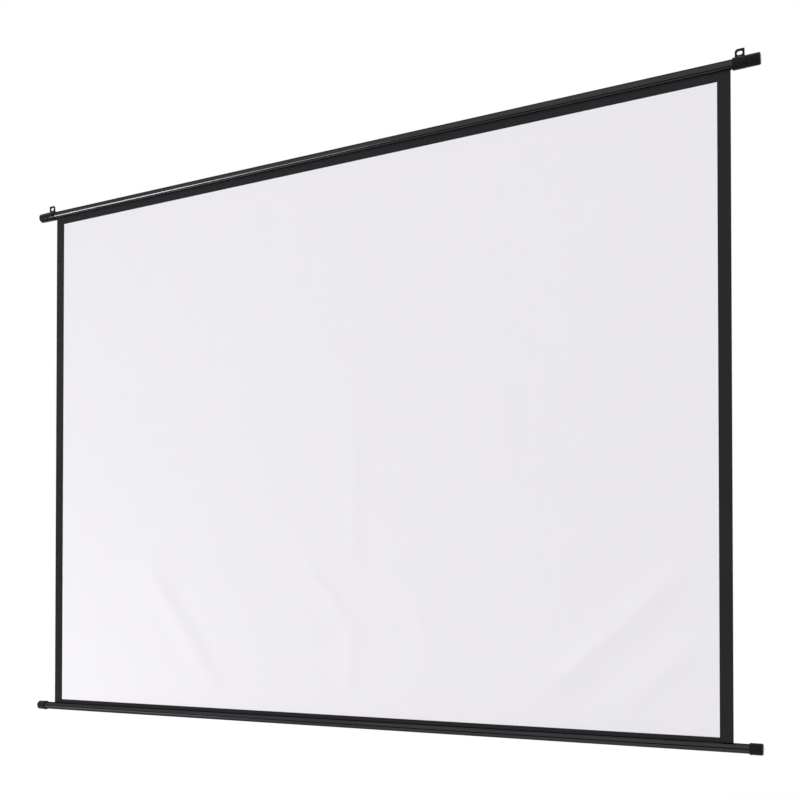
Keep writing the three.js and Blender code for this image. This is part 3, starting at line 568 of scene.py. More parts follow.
# Caps: a raised ring at the open end, a rounded outer end and a screw seat at the back
capShape = {
    "length": 36 * mm, "radius": 16.45 * mm, "ringRadius": 16.75 * mm, "ringWidth": 5 * mm, "bore": 13.8 * mm,
    "endWall": 3 * mm, "ringRounding": 2 * mm, "endRounding": 4 * mm, "step": 0.3 * mm,
    "screwShare": 0.45, "seatRadius": 3.1 * mm, "seatDepthRadius": 15.15 * mm, "stemRadius": 1.6 * mm,
    "cutterReach": (8 * mm, 20 * mm),
    "dishRadius": 12.1 * mm, "dishWidth": 1.4 * mm, "dishSlope": 0.4 * mm, "dishDepth": 0.25 * mm,
    "dishEdge": 0.08 * mm, "boreEdge": 0.3 * mm, "floorEdge": 0.4 * mm,
    "holeInside": 10 * mm, "holeLength": 30 * mm,
    "segments": 96, "seatSegments": 36, "holeSegments": 40,
}


def capOutline(shape):
    length, radius, ring = shape["length"], shape["radius"], shape["ringRadius"]
    inside = length - shape["endWall"]
    dish, slope, edge = length - shape["dishDepth"], shape["dishSlope"], shape["dishEdge"]
    dishOuter, dishInner = shape["dishRadius"], shape["dishRadius"] - shape["dishWidth"]
    corners = [
        (inside, 0, 0), (inside, shape["bore"], shape["floorEdge"]), (0, shape["bore"], shape["boreEdge"]),
        (0, ring, shape["ringRounding"]), (shape["ringWidth"], ring, shape["step"] / 2),
        (shape["ringWidth"] + shape["step"], radius, shape["step"] / 2),
        (length, radius, shape["endRounding"]), (length, dishOuter, edge), (dish, dishOuter - slope, edge),
        (dish, dishInner + slope, edge), (length, dishInner, edge), (length, 0, 0),
    ]
    return rounded(corners)


def endCap(name, node, body, extra=()):
    low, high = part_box(node)
    side = 1 if high.x > 0 else -1
    start = low.x if side > 0 else high.x
    axis = (low.z + high.z) / 2
    place, segments = (start, 0, axis), capShape["segments"]
    cap = turned(name, capOutline(capShape), place, (side, 0, 0), ["mouldedBlack"], segments)
    x = start + side * capShape["length"] * capShape["screwShare"]
    cutters = [screwCutter(x, axis, capShape), *extra]
    return standFor(combine(cap, cutters, "DIFFERENCE"), body, "black_plastic", node)


print("shapes ready")

tube = housingTube()
standFor(tube, "housing_body", "black_paint", "housing_tube")
bar = weightBarTube()
standFor(bar, "weight_bar_body", "black_paint", "weight_bar_tube")
print("tubes made")

# Supply inlet and run button in the left cap's outer face
inletShape = {
    "radius": 4 * mm, "flange": 5 * mm, "flangeHeight": 1.2 * mm, "bore": 2.75 * mm,
    "depth": 10 * mm, "back": 2 * mm, "pin": 1 * mm, "pinInset": 2.2 * mm, "clearance": 0.3 * mm,
    "mouth": 0.4 * mm, "fineEdge": 0.1 * mm, "backEdge": 0.3 * mm, "faceEdge": 0.45 * mm, "pinTip": 0.6 * mm,
    "segments": 56,
}
buttonShape = {
    "radius": 3 * mm, "flange": 4 * mm, "flangeHeight": 1.5 * mm, "proud": 1.5 * mm,
    "stem": 1.2 * mm, "stemLength": 5.8 * mm, "dish": 0.35 * mm, "dishShare": 1 / 3, "clearance": 0.3 * mm,
    "edge": 0.2 * mm, "topEdge": 0.5 * mm, "dishEdge": 0.8 * mm, "segments": 56,
}


def facePlace(node):
    low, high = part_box(node)
    return Vector((housingLow.x, 0, (low.z + high.z) / 2))


def facePiece(name, node, corners, material, shape):
    outline = rounded(corners)
    return turned(name, outline, facePlace(node), (-1, 0, 0), [material], shape["segments"])


def faceHole(node, shape):
    radius, length = shape["radius"] + shape["clearance"], capShape["holeLength"]
    outline = [(0, 0), (0, radius), (length, radius), (length, 0)]
    start = facePlace(node) + Vector((capShape["holeInside"], 0, 0))
    return turned("cutter", outline, start, (-1, 0, 0), ["mouldedBlack"], capShape["holeSegments"])


def supplyInlet(shape):
    wall = capShape["endWall"]
    face, floor = wall + shape["flangeHeight"], wall + shape["flangeHeight"] - shape["depth"]
    back, tip = floor - shape["back"], face - shape["pinInset"]
    mouth, fine = shape["mouth"], shape["fineEdge"]
    corners = [
        (back, 0, 0), (back, shape["radius"], shape["backEdge"]), (wall, shape["radius"], 0),
        (wall, shape["flange"], fine), (face, shape["flange"], shape["faceEdge"]),
        (face, shape["bore"] + mouth, fine), (face - mouth, shape["bore"], fine), (floor, shape["bore"], 0),
        (floor, shape["pin"], 0), (tip, shape["pin"], shape["pinTip"]), (tip, 0, 0),
    ]
    inlet = facePiece("supplyInlet", "dc_inlet", corners, "mouldedBlack", shape)
    return standFor(inlet, "housing_body", "black_plastic", "dc_inlet")


def runButton(shape):
    top, edge = capShape["endWall"] + shape["proud"], shape["edge"]
    dish, dishRadius = top - shape["dish"], shape["radius"] * shape["dishShare"]
    corners = [
        (-shape["stemLength"], 0, 0), (-shape["stemLength"], shape["stem"], edge),
        (-shape["flangeHeight"], shape["stem"], 0), (-shape["flangeHeight"], shape["flange"], edge),
        (0, shape["flange"], edge), (0, shape["radius"], 0), (top, shape["radius"], shape["topEdge"]),
        (dish, dishRadius, shape["dishEdge"]), (dish, 0, 0),
    ]
    button = facePiece("runButton", "run_button", corners, "buttonGrey", shape)
    return standFor(button, "run_button_body", "magnet", "run_button")


endCap("capTopRight", "end_cap_top_right", "housing_body")
faceHoles = [faceHole("dc_inlet", inletShape), faceHole("run_button", buttonShape)]
endCap("capTopLeft", "end_cap_top_left", "housing_body", faceHoles)
endCap("capBottomRight", "end_cap_bottom_right", "weight_bar_body")
endCap("capBottomLeft", "end_cap_bottom_left", "weight_bar_body")
supplyInlet(inletShape)
runButton(buttonShape)
print("caps, inlet and button made")

# Hangers: a collar with an upright plate, which has an oval hole and one wide-rounded corner
hangerShape = {
    "bore": 13.8 * mm, "boreEdge": 0.3 * mm, "radius": 16.75 * mm, "edge": 2.3 * mm,
    "plateWidth": 26.4 * mm, "plateThickness": 3.5 * mm, "innerCorner": 8 * mm, "outerCorner": 1.2 * mm,
    "cornerSteps": 8, "holeWidth": 15.5 * mm, "holeTallness": 11.5 * mm, "holeSteps": 20,
    "flare": 2 * mm, "footShare": 1.2, "root": 14.5 * mm, "sink": 0.12 * mm,
    "plateEdge": 0.4 * mm, "edgeTurns": (1.57, 1.05, 0.52, 0), "segments": 96,
}


def hanger(name, node, shape):
    low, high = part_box(node)
    side = 1 if high.x > 0 else -1
    start = low.x if side > 0 else high.x
    length = high.x - low.x
    top = high.z
    middle = length / 2
    collarCorners = [
        (0, shape["bore"], shape["boreEdge"]), (length, shape["bore"], shape["boreEdge"]),
        (length, shape["radius"], shape["edge"]), (0, shape["radius"], shape["edge"]),
    ]
    place, segments = (start, 0, housingAxis), shape["segments"]
    collar = turned(name, rounded(collarCorners), place, (side, 0, 0), ["mouldedBlack"], segments)
    inner, outer = middle - shape["plateWidth"] / 2, middle + shape["plateWidth"] / 2
    root = housingAxis + shape["root"]
    shelf = housingAxis + shape["radius"] - shape["sink"]
    flare = shape["flare"]
    foot = shape["footShare"] * flare
    outline = rounded([
        (inner - foot, root, 0), (outer + foot, root, 0), (outer + foot, shelf, 0), (outer, shelf, flare),
        (outer, top, shape["outerCorner"]), (inner, top, shape["innerCorner"]), (inner, shelf, flare),
        (inner - foot, shelf, 0),
    ], shape["cornerSteps"])
    holeRadius = shape["holeTallness"] / 2
    reach = shape["holeWidth"] / 2 - holeRadius
    steps = shape["holeSteps"]
    hole = circlePoints(holeRadius, math.pi / 2, -math.pi / 2, steps, (middle + reach, 0))
    hole += circlePoints(holeRadius, -math.pi / 2, -1.5 * math.pi, steps, (middle - reach, 0))
    half, edge = shape["plateThickness"] / 2, shape["plateEdge"]
    depths = [
        (half - edge * (1 - math.sin(turn)), edge * (1 - math.cos(turn))) for turn in shape["edgeTurns"]
    ]
    sections = []
    for sign, row in ((-1, depths), (1, depths[::-1])):
        for y, inward in row:
            sections.append((inward, lambda a, b, y=sign * y: Vector((side * a, y, b))))
    plate = extruded("plate", [outline, hole], sections, (start, 0, 0), ["mouldedBlack"])
    return standFor(combine(collar, [plate], "UNION"), node + "_body", "black_plastic", node)


hanger("hangerRight", "hanger_right", hangerShape)
hanger("hangerLeft", "hanger_left", hangerShape)
print("hangers made")

# Cap screws: one screw with a cross recess, set out in a row along the bar
screwShape = {
    "head": 2.8 * mm, "headHeight": 1.4 * mm, "headRounding": 0.55 * mm, "headEdge": 0.1 * mm,
    "stem": 1.3 * mm, "stemLength": 4.5 * mm, "stemEdge": 0.3 * mm,
    "crossLength": 3.2 * mm, "crossWidth": 0.7 * mm, "crossDepth": 0.9 * mm, "crossTaperShare": 0.25,
    "overrun": 1 * mm, "segments": 40,
}


def crossScrew(shape):
    corners = [
        (-shape["stemLength"], 0, 0), (-shape["stemLength"], shape["stem"], shape["stemEdge"]),
        (0, shape["stem"], 0), (0, shape["head"], shape["headEdge"]),
        (shape["headHeight"], shape["head"], shape["headRounding"]), (shape["headHeight"], 0, 0),
    ]
    screw = turned("screw", rounded(corners), (0, 0, 0), (0, 1, 0), ["platedSteel"], shape["segments"])
    long, wide = shape["crossLength"] / 2, shape["crossWidth"] / 2
    floor, over = shape["headHeight"] - shape["crossDepth"], shape["headHeight"] + shape["overrun"]
    cutters = []
    for a, b in ((long, wide), (wide, long)):
        square = [Vector(corner) for corner in ((-a, -b), (a, -b), (a, b), (-a, b))]
        depths = [
            (shape["crossTaperShare"] * wide, lambda u, v: Vector((u, floor, v))),
            (0, lambda u, v: Vector((u, over, v))),
        ]
        cutters.append(extruded("cutter", [square], depths, (0, 0, 0), ["platedSteel"]))
    return combine(screw, cutters, "DIFFERENCE")


def newTree(name, kinds):
    tree = bpy.data.node_groups.new(name, "GeometryNodeTree")
    tree.interface.new_socket(name="Geometry", in_out="OUTPUT", socket_type="NodeSocketGeometry")
    for inputName, kind in kinds.items():
        tree.interface.new_socket(name=inputName, in_out="INPUT", socket_type="NodeSocket" + kind)
    return tree, addNode(tree, "NodeGroupInput").outputs


def screwRowTree():
    tree, given = newTree("screwRow", {
        "Screw": "Object", "First": "Vector", "Step": "Vector", "Count": "Int", "Finish": "Material",
    })
    row = addNode(tree, "GeometryNodeMeshLine", {
        "Count": given["Count"], "Start Location": given["First"], "Offset": given["Step"],
    })
    screw = addNode(tree, "GeometryNodeObjectInfo", {"Object": given["Screw"]})
    placed = addNode(tree, "GeometryNodeInstanceOnPoints", {
        "Points": row.outputs[0], "Instance": screw.outputs["Geometry"],
    })
    real = addNode(tree, "GeometryNodeRealizeInstances", {"Geometry": placed.outputs[0]})
    coated = addNode(tree, "GeometryNodeSetMaterial", {
        "Geometry": real.outputs[0], "Material": given["Finish"],
    })
    tree.links.new(coated.outputs[0], addNode(tree, "NodeGroupOutput").inputs[0])
    return tree


def growFrom(name, mesh, tree, values):
    # A piece from a node tree, whose inputs are set before it is first evaluated
    piece = newPiece(name, mesh)
    modifier = piece.modifiers.new(name, "NODES")
    modifier.node_group = tree
    for item in tree.interface.items_tree:
        if item.in_out == "INPUT" and item.name in values:
            modifier[item.identifier] = values[item.name]
    return settle(piece)


def capScrews(name, body, bar, tree, screw):
    nodes = [f"cap_screw_{bar}_{side}" for side in ("left", "right")]
    places = []
    for node in nodes:
        low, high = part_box(node)
        places.append(Vector(((low.x + high.x) / 2, capShape["seatDepthRadius"], (low.z + high.z) / 2)))
    screws = growFrom(name, bpy.data.meshes.new(name), tree, {
        "Screw": screw, "First": places[0], "Step": places[1] - places[0], "Count": len(places),
        "Finish": finish["platedSteel"],
    })
    shadeSmooth(screws.data)
    return standFor(screws, body, "steel", *nodes)


screw = crossScrew(screwShape)
screwTree = screwRowTree()
capScrews("capScrewsTop", "housing_body", "top", screwTree, screw)
capScrews("capScrewsBottom", "weight_bar_body", "bottom", screwTree, screw)
bpy.data.objects.remove(screw)
print("screws set")

# Picture sheet: white with a printed border, a dark back, and faint folds
sheetShape = {
    "width": 2512 * mm, "thickness": 0.15 * mm, "sideBorder": 37 * mm, "slotEdge": -39.21 * mm,
    "topBorderEnd": -67.6 * mm, "lowBorderStart": -1896.6 * mm, "bottom": -1899.1 * mm,
    "columns": 196, "rows": 146, "borderColumns": 3, "borderRows": 2, "weldGap": 0.01 * mm,
    "foldDepth": 0.9 * mm, "foldRelief": 3.1 * mm, "foldFadeShare": 0.35, "foldedGap": 0.1 * mm,
    "billow": 1.2 * mm, "billowScale": 1.1, "heldTop": 120 * mm, "heldFoot": 60 * mm,
    "rollMark": 0.05 * mm, "rollPitch": 150 * mm, "rollNarrowness": 12, "rollFade": (300 * mm, 750 * mm),
    "markSize": 50 * mm, "markStretch": (14, 1, 1), "markDepth": 1.4 * mm,
    "markFadeAcross": (400 * mm, 1700 * mm), "markFadeDown": (500 * mm, 1500 * mm),
}
# Each fold runs between two places across and down the sheet, with a width and a height
foldShares = [
    (0.150, 0.680, 0.325, 1.000, 0.015, 1.15),
    (0.205, 0.720, 0.350, 0.980, 0.013, -0.35),
    (0.524, 0.370, 0.520, 0.820, 0.014, 0.38),
    (0.430, 0.700, 0.530, 0.860, 0.012, 0.85),
    (0.526, 0.800, 0.512, 0.980, 0.013, 0.42),
    (0.985, 0.700, 0.740, 0.995, 0.014, 0.6),
    (0.975, 0.780, 0.800, 0.990, 0.012, -0.22),
    (0.985, 0.835, 0.850, 0.990, 0.012, 0.38),
    (0.728, 0.380, 0.738, 0.640, 0.012, 0.25),
    (0.600, 0.770, 0.642, 0.900, 0.010, 0.35),
]


def sheetPlace(tree, position, shape):
    # Sideways and height of a point, and how far it is across and down the sheet
    x, _, z = addNode(tree, "ShaderNodeSeparateXYZ", {0: position}).outputs
    return x, z, maths(tree, "ADD", x, shape["width"] / 2), maths(tree, "SUBTRACT", shape["slotEdge"], z)


def foldHeight(tree, across, down, fold, shape):
    # Height of one fold at each point: a ridge across its line, fading at both ends
    startX, startZ, endX, endZ, broad, tall = fold
    width, height, fade = shape["width"], shape["slotEdge"] - shape["bottom"], shape["foldFadeShare"]
    start = Vector((startX * width, startZ * height))
    run = Vector((endX * width, endZ * height)) - start
    ahead = run.normalized()
    x = maths(tree, "SUBTRACT", across, start.x)
    z = maths(tree, "SUBTRACT", down, start.y)
    along = maths(tree, "ADD", product(tree, x, ahead.x), product(tree, z, ahead.y))
    off = maths(tree, "SUBTRACT", product(tree, x, ahead.y), product(tree, z, ahead.x))
    ridge = maths(tree, "EXPONENT", product(tree, maths(tree, "POWER", off, 2), -1 / (broad * width) ** 2))
    share = maths(tree, "DIVIDE", along, run.length)
    ends = product(tree, smooth(tree, share, 0, fade), smooth(tree, share, 1, 1 - fade))
    return product(tree, ridge, ends, tall)


def foldSum(tree, across, down, folds, shape):
    total = None
    for fold in folds:
        ridge = foldHeight(tree, across, down, fold, shape)
        total = maths(tree, "ADD", total, ridge) if total else ridge
    return total


def sheetTree(shape, folds):
    tree, given = newTree("foldedSheet", {
        "Geometry": "Geometry", "Thickness": "Float", "Fold Depth": "Float", "Billow": "Float",
        "Roll Mark": "Float", "Roll Pitch": "Float", "Side Border": "Float", "White Top": "Float",
        "White Bottom": "Float", "Front": "Material", "Border": "Material", "Back": "Material",
    })
    width, height = shape["width"], shape["slotEdge"] - shape["bottom"]
    position = addNode(tree, "GeometryNodeInputPosition").outputs[0]
    x, z, across, down = sheetPlace(tree, position, shape)
    folded = product(tree, foldSum(tree, across, down, folds, shape), given["Fold Depth"])
    drift = addNode(tree, "ShaderNodeTexNoise", {
        "Vector": position, "Scale": shape["billowScale"], "Detail": 1,
    }).outputs["Fac"]
    billow = product(tree, maths(tree, "SUBTRACT", drift, 0.5), given["Billow"])
    rolls = maths(tree, "SINE", maths(tree, "DIVIDE", product(tree, down, 2 * math.pi), given["Roll Pitch"]))
    rolls = maths(tree, "POWER", maths(tree, "ABSOLUTE", rolls), shape["rollNarrowness"])
    unrolled = maths(tree, "SUBTRACT", 1, smooth(tree, down, *shape["rollFade"]))
    rolls = product(tree, rolls, given["Roll Mark"], unrolled)
    total = maths(tree, "ADD", maths(tree, "ADD", folded, billow), rolls)
    heldTop = smooth(tree, down, 0, shape["heldTop"])
    heldFoot = smooth(tree, down, height, height - shape["heldFoot"])
    forward = product(tree, total, product(tree, heldTop, heldFoot), -1)
    offset = addNode(tree, "ShaderNodeCombineXYZ", {1: forward})
    waved = addNode(tree, "GeometryNodeSetPosition", {
        "Geometry": given["Geometry"], "Offset": offset.outputs[0],
    })
    turnedOver = addNode(tree, "GeometryNodeFlipFaces", {0: waved.outputs[0]})
    deep = addNode(tree, "ShaderNodeCombineXYZ", {1: given["Thickness"]})
    grown = addNode(tree, "GeometryNodeExtrudeMesh", {
        "Mesh": turnedOver.outputs[0], "Offset": deep.outputs[0], "Offset Scale": 1, "Individual": False,
    })
    joined = addNode(tree, "GeometryNodeJoinGeometry")
    tree.links.new(waved.outputs[0], joined.inputs[0])
    tree.links.new(grown.outputs[0], joined.inputs[0])
    closed = addNode(tree, "GeometryNodeMergeByDistance", {
        "Geometry": joined.outputs[0], "Distance": shape["weldGap"],
    })
    real = addNode(tree, "GeometryNodeRealizeInstances", {"Geometry": closed.outputs[0]})
    normal = addNode(tree, "GeometryNodeInputNormal").outputs[0]
    facing = addNode(tree, "ShaderNodeSeparateXYZ", {0: normal}).outputs[1]
    front = maths(tree, "LESS_THAN", facing, -0.5)
    whiteHalf = maths(tree, "SUBTRACT", width / 2, given["Side Border"])
    beside = maths(tree, "GREATER_THAN", maths(tree, "ABSOLUTE", x), whiteHalf)
    above = maths(tree, "GREATER_THAN", z, given["White Top"])
    below = maths(tree, "LESS_THAN", z, given["White Bottom"])
    outside = maths(tree, "MAXIMUM", beside, maths(tree, "MAXIMUM", above, below))
    printed = product(tree, front, outside)
    coated = real
    for name, chosen in (("Back", None), ("Front", front), ("Border", printed)):
        inputs = {"Geometry": coated.outputs[0], "Material": given[name]}
        if chosen:
            inputs["Selection"] = chosen
        coated = addNode(tree, "GeometryNodeSetMaterial", inputs)
    tree.links.new(coated.outputs[0], addNode(tree, "NodeGroupOutput").inputs[0])
    return tree


def evenly(low, high, count):
    return [low + (high - low) * step / count for step in range(count + 1)]


def flatSheet(shape):
    # A flat net whose lines run along the printed border
    half, inner = shape["width"] / 2, shape["width"] / 2 - shape["sideBorder"]
    columns = evenly(-half, -inner, shape["borderColumns"])[:-1]
    columns += evenly(-inner, inner, shape["columns"])[:-1]
    columns += evenly(inner, half, shape["borderColumns"])
    rows = evenly(shape["slotEdge"], shape["topBorderEnd"], shape["borderRows"])[:-1]
    rows += evenly(shape["topBorderEnd"], shape["lowBorderStart"], shape["rows"]) + [shape["bottom"]]
    front = -shape["thickness"] / 2
    points = [(x, front, z) for z in rows for x in columns]
    across = len(columns)
    faces = []
    for row in range(len(rows) - 1):
        for column in range(across - 1):
            corner = row * across + column
            faces.append((corner, corner + across, corner + across + 1, corner + 1))
    mesh = bpy.data.meshes.new("pictureSheet")
    mesh.from_pydata(points, [], faces)
    return mesh


def pictureSheet(shape):
    sheet = growFrom("pictureSheet", flatSheet(shape), sheetTree(shape, foldShares), {
        "Thickness": shape["thickness"], "Fold Depth": shape["foldDepth"], "Billow": shape["billow"],
        "Roll Mark": shape["rollMark"], "Roll Pitch": shape["rollPitch"], "Side Border": shape["sideBorder"],
        "White Top": shape["topBorderEnd"], "White Bottom": shape["lowBorderStart"],
        "Front": finish["sheetWhite"], "Border": finish["sheetBorder"], "Back": finish["sheetBacking"],
    })
    shadeSmooth(sheet.data)
    return sheet


def pressFolds(material, shape, folds):
    # The same folds as relief in the white, and the faint level marks that the roll leaves
    tree = material.node_tree
    normal = tree.nodes["Principled BSDF"].inputs["Normal"]
    weave = normal.links[0].from_socket
    where = tree.nodes["Texture Coordinate"].outputs["Object"]
    _, _, across, down = sheetPlace(tree, where, shape)
    marks = noise(tree, where, shape["markSize"], shape["markStretch"], detail=1)
    for place, fade in ((across, shape["markFadeAcross"]), (down, shape["markFadeDown"])):
        marks = product(tree, marks, maths(tree, "SUBTRACT", 1, smooth(tree, place, *fade)))
    marked = addRelief(tree, marks, shape["markDepth"], weave)
    folded = addRelief(tree, foldSum(tree, across, down, folds, shape), shape["foldRelief"], marked)
    tree.links.new(folded, normal)


pressFolds(finish["sheetWhite"], sheetShape, foldShares)
sheet = pictureSheet(sheetShape)
print("sheet made:", len(sheet.data.polygons), "faces")

# The rest of the cloth: the wraps on the roller, the lead down to the slot, and the hem round its spline
wrapShape = {"inner": 6.1 * mm, "turns": 2, "gap": 0.01 * mm, "leadRadius": 6.775 * mm, "stepsPerTurn": 48}
hemShape = {"spline": 2.3 * mm, "steps": 40, "sewn": 3 * mm, "gapShare": 1.1}


def bandLoop(line, thickness):
    # Closed loop round an open line, half the thickness to each side
    sides = []
    for index, here in enumerate(line):
        before, after = line[max(index - 1, 0)], line[min(index + 1, len(line) - 1)]
        along = (after - before).normalized()
        sides.append((here, Vector((-along.y, along.x)) * thickness / 2))
    return [here + side for here, side in sides] + [here - side for here, side in reversed(sides)]


def lineLength(line):
    return sum((second - first).length for first, second in zip(line, line[1:]))


def clothStrip(name, line, half, z, body, nodes=()):
    loop = bandLoop(line, sheetShape["thickness"])
    strip = extruded(name, [loop], alongBar(-half, half), (0, 0, z), ["sheetBorder"])
    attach(strip, body)
    if nodes:
        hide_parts(*nodes)
    return strip


def leadLine():
    bend = housingAxis - sheetShape["slotEdge"]
    radius = wrapShape["leadRadius"]
    slant = math.asin(radius / bend)
    length = math.sqrt(bend**2 - radius**2)
    return [Vector((length * math.sin(slant), -bend + length * math.cos(slant))), Vector((0, -bend))]


def wrapLine(end):
    count = wrapShape["stepsPerTurn"] * wrapShape["turns"]
    last = math.atan2(end.y, end.x)
    thickness = sheetShape["thickness"]
    pitch = thickness + wrapShape["gap"]
    line = []
    for step in range(count + 1):
        share = step / count
        radius = wrapShape["inner"] + thickness / 2 + pitch * wrapShape["turns"] * share
        angle = last - 2 * math.pi * wrapShape["turns"] * (1 - share)
        line.append(Vector((radius * math.cos(angle), radius * math.sin(angle))))
    return line


def hemLine():
    splineLow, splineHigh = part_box("hem_spline")
    centre = (splineLow.z + splineHigh.z) / 2 - barAxis
    radius = hemShape["spline"] + sheetShape["thickness"] / 2
    gap = sheetShape["thickness"] * hemShape["gapShare"]
    neck = math.asin(gap / radius)
    loop = circlePoints(radius, math.pi / 2 + neck, 2.5 * math.pi - neck, hemShape["steps"], (0, centre))
    straight = [Vector((0, sheetShape["bottom"] - barAxis)), Vector((0, loop[0].y + 2 * hemShape["sewn"]))]
    return straight + loop + [Vector((gap, loop[-1].y + hemShape["sewn"]))]


half = sheetShape["width"] / 2
lead, hem = leadLine(), hemLine()
wraps = wrapLine(lead[0])
leadStrip = clothStrip("sheetLead", lead, half, housingAxis, "housing_body")
wrapStrip = clothStrip("sheetWraps", wraps, half, housingAxis, "roller_body", ["fabric_wraps"])
hemStrip = clothStrip("sheetHem", hem, half, barAxis, "weight_bar_body", ["fabric_hem"])
print("cloth strips made")

# Felt strips on both sides of the slot: a rounded, uneven pile on a flat back
feltShape = {"pile": 0.4 * mm, "back": 0.1 * mm, "dent": 0.08 * mm, "pitch": 12 * mm, "swing": 1.7}


def feltStrip(name, node, shape):
    low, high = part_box(node)
    side = 1 if low.y > 0 else -1
    middle = abs(low.y + high.y) / 2
    edges = (shape["pile"], shape["back"])[::side]
    outline = rounded([
        (low.y, low.z, edges[0]), (high.y, low.z, edges[1]),
        (high.y, high.z, edges[1]), (low.y, high.z, edges[0]),
    ])

    def dented(x, dent):
        return lambda a, b: Vector((x, a + side * dent if abs(a) < middle else a, b))

    sections = []
    for step, x in enumerate(evenly(low.x, high.x, round((high.x - low.x) / shape["pitch"]))):
        sections.append((0, dented(x, shape["dent"] * math.sin(shape["swing"] * step) ** 2)))
    strip = extruded(name, [outline], sections, (0, 0, 0), ["darkFelt"])
    return standFor(strip, "housing_body", "grey_felt", node)


feltStrip("feltFront", "slot_felt_front", feltShape)
feltStrip("feltBack", "slot_felt_back", feltShape)
print("felt strips made")

drop = sheetShape["slotEdge"] - sheetShape["bottom"]
standFor(sheet, "housing_body", "white_fabric", "projection_fabric")
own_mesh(sheet)
clothLength = drop + lineLength(lead) + lineLength(hem) + lineLength(wraps)
print("sheet hung: flat length", round(clothLength, 3))

# Finishes of the pieces inside, which stay as they are
insideFinishes = {
    "drawnAluminium": ("roller_tube",),
    "mouldedBlack": (
        "idler_bracket", "motor_clamp_inner", "motor_clamp_outer", "push_switch", "drive_plug", "idler_plug",
    ),
    "leadRubber": ("inlet_lead", "motor_lead"),
    "platedSteel": (
        "idler_bracket_screw", "gearbox_front_plate", "gearbox_case", "motor_can", "motor_clamp_screw",
        "idler_pin", "planet_carrier", "motor_shaft", "rotor_core", "ballast_rod",
    ),
    "sinteredBronze": ("idler_bearing", "output_bushing", "sun_gear"),
    "windingWire": ("rotor_winding", "commutator"),
    "sandyFerrite": ("magnet_upper", "magnet_lower", "brush_upper", "brush_lower"),
    "whiteNylon": (
        "end_bell", "roller_keder", "planet_gear_1", "planet_gear_2", "planet_gear_3", "hem_spline",
        "switch_plunger",
    ),
    "solderMask": ("control_board",),
}
for name, nodes in insideFinishes.items():
    for node in nodes:
        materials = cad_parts[node].data.materials
        materials.clear()
        materials.append(finish[name])
print("inside pieces finished")

# Studio: white surroundings, a soft sun and five panels, and a pale floor well below
studio = {
    "surround": 0.375, "floorDrop": 1.0, "floorSize": 200.0, "floorColour": (0.72, 0.72, 0.72, 1),
    "floorGlow": 0.34, "sunTurn": -36, "sunHeight": 26, "sunStrength": 2.19, "sunAngle": 40,
}
# Each panel: its place, the point it faces, its size, its power, and whether matt surfaces get its light
panels = {
    "streakPanel": ((-1.98, -1.03, -0.65), (-1.98, 0, 0.38), (1.03, 0.26), 37, False),
    "middlePanel": ((-1.255, -1.03, -0.65), (-1.255, 0, 0.38), (0.42, 0.26), 7, False),
    "fadePanel": ((-0.765, -1.03, -0.65), (-0.765, 0, 0.38), (0.56, 0.26), 4, False),
    "highPanel": ((0.2, -2.4, 1), (0.2, 0, -0.1), (4.5, 0.9), 3.5, True),
    "lowPanel": ((-2.3, -1.5, -2.6), (-1.15, 0, -1.8), (1.2, 0.8), 10, True),
}


def seenShare(tree):
    # One where a ray comes straight, mirrored or through glass
    paths = addNode(tree, "ShaderNodeLightPath").outputs
    glossy = maths(tree, "MAXIMUM", paths["Is Glossy Ray"], paths["Is Transmission Ray"])
    return maths(tree, "MAXIMUM", paths["Is Camera Ray"], glossy)


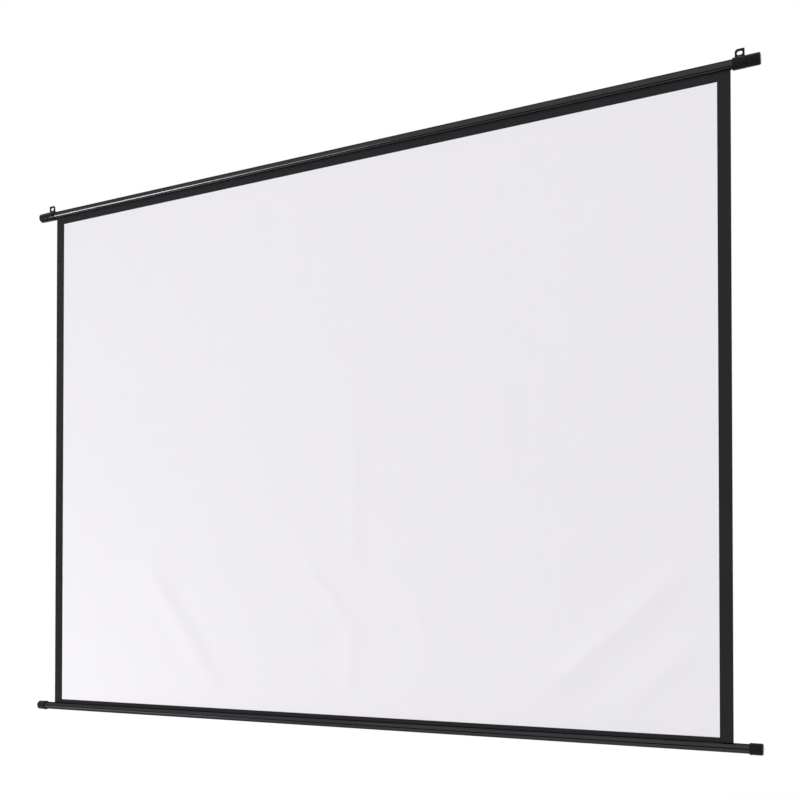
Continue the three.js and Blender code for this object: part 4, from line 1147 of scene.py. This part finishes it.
def surround(settings):
    world = bpy.data.worlds.new("studio")
    scene.world = world
    world.use_nodes = True
    tree = world.node_tree
    tree.nodes.clear()
    dim = addNode(tree, "ShaderNodeBackground", {"Color": (1, 1, 1, 1), "Strength": settings["surround"]})
    white = addNode(tree, "ShaderNodeBackground", {"Color": (1, 1, 1, 1), "Strength": 1})
    mixed = addNode(tree, "ShaderNodeMixShader", {0: seenShare(tree), 1: dim.outputs[0], 2: white.outputs[0]})
    tree.links.new(mixed.outputs[0], addNode(tree, "ShaderNodeOutputWorld").inputs[0])


def layFloor(settings):
    half = settings["floorSize"] / 2
    level = cadBox[0].z - settings["floorDrop"]
    mesh = bpy.data.meshes.new("floor")
    corners = [(-half, -half, level), (half, -half, level), (half, half, level), (-half, half, level)]
    mesh.from_pydata(corners, [], [(0, 1, 2, 3)])
    material, tree, shader, _ = newMaterial("floor", {"shine": 0})
    shader.inputs["Roughness"].default_value = 1
    seen = seenShare(tree)
    inputs = {0: seen, 6: settings["floorColour"], 7: (1, 1, 1, 1)}
    pale = addNode(tree, "ShaderNodeMix", inputs, data_type="RGBA").outputs[2]
    feed(tree, shader.inputs["Base Color"], pale)
    shader.inputs["Emission Color"].default_value = (1, 1, 1, 1)
    feed(tree, shader.inputs["Emission Strength"], maths(tree, "MULTIPLY", seen, settings["floorGlow"]))
    mesh.materials.append(material)
    newPiece("floor", mesh)


def addSun(settings):
    data = bpy.data.lights.new("softSun", "SUN")
    data.energy = settings["sunStrength"]
    data.angle = math.radians(settings["sunAngle"])
    sun = bpy.data.objects.new("softSun", data)
    turn, height = math.radians(settings["sunTurn"]), math.radians(settings["sunHeight"])
    source = Vector((math.sin(turn) * math.cos(height), -math.cos(turn) * math.cos(height), math.sin(height)))
    sun.rotation_euler = (-source).to_track_quat("-Z", "Y").to_euler()
    sun.visible_glossy = False
    scene.collection.objects.link(sun)


def addPanel(name, place, towards, size, power, soft):
    data = bpy.data.lights.new(name, "AREA")
    data.shape = "RECTANGLE"
    data.size, data.size_y = size
    data.energy = power
    panel = bpy.data.objects.new(name, data)
    panel.location = place
    panel.rotation_euler = (Vector(towards) - Vector(place)).to_track_quat("-Z", "Y").to_euler()
    panel.visible_camera = False
    panel.visible_diffuse = soft
    scene.collection.objects.link(panel)


surround(studio)
layFloor(studio)
addSun(studio)
for name, settings in panels.items():
    addPanel(name, *settings)
scene.view_settings.view_transform = "Standard"
print("studio lit")
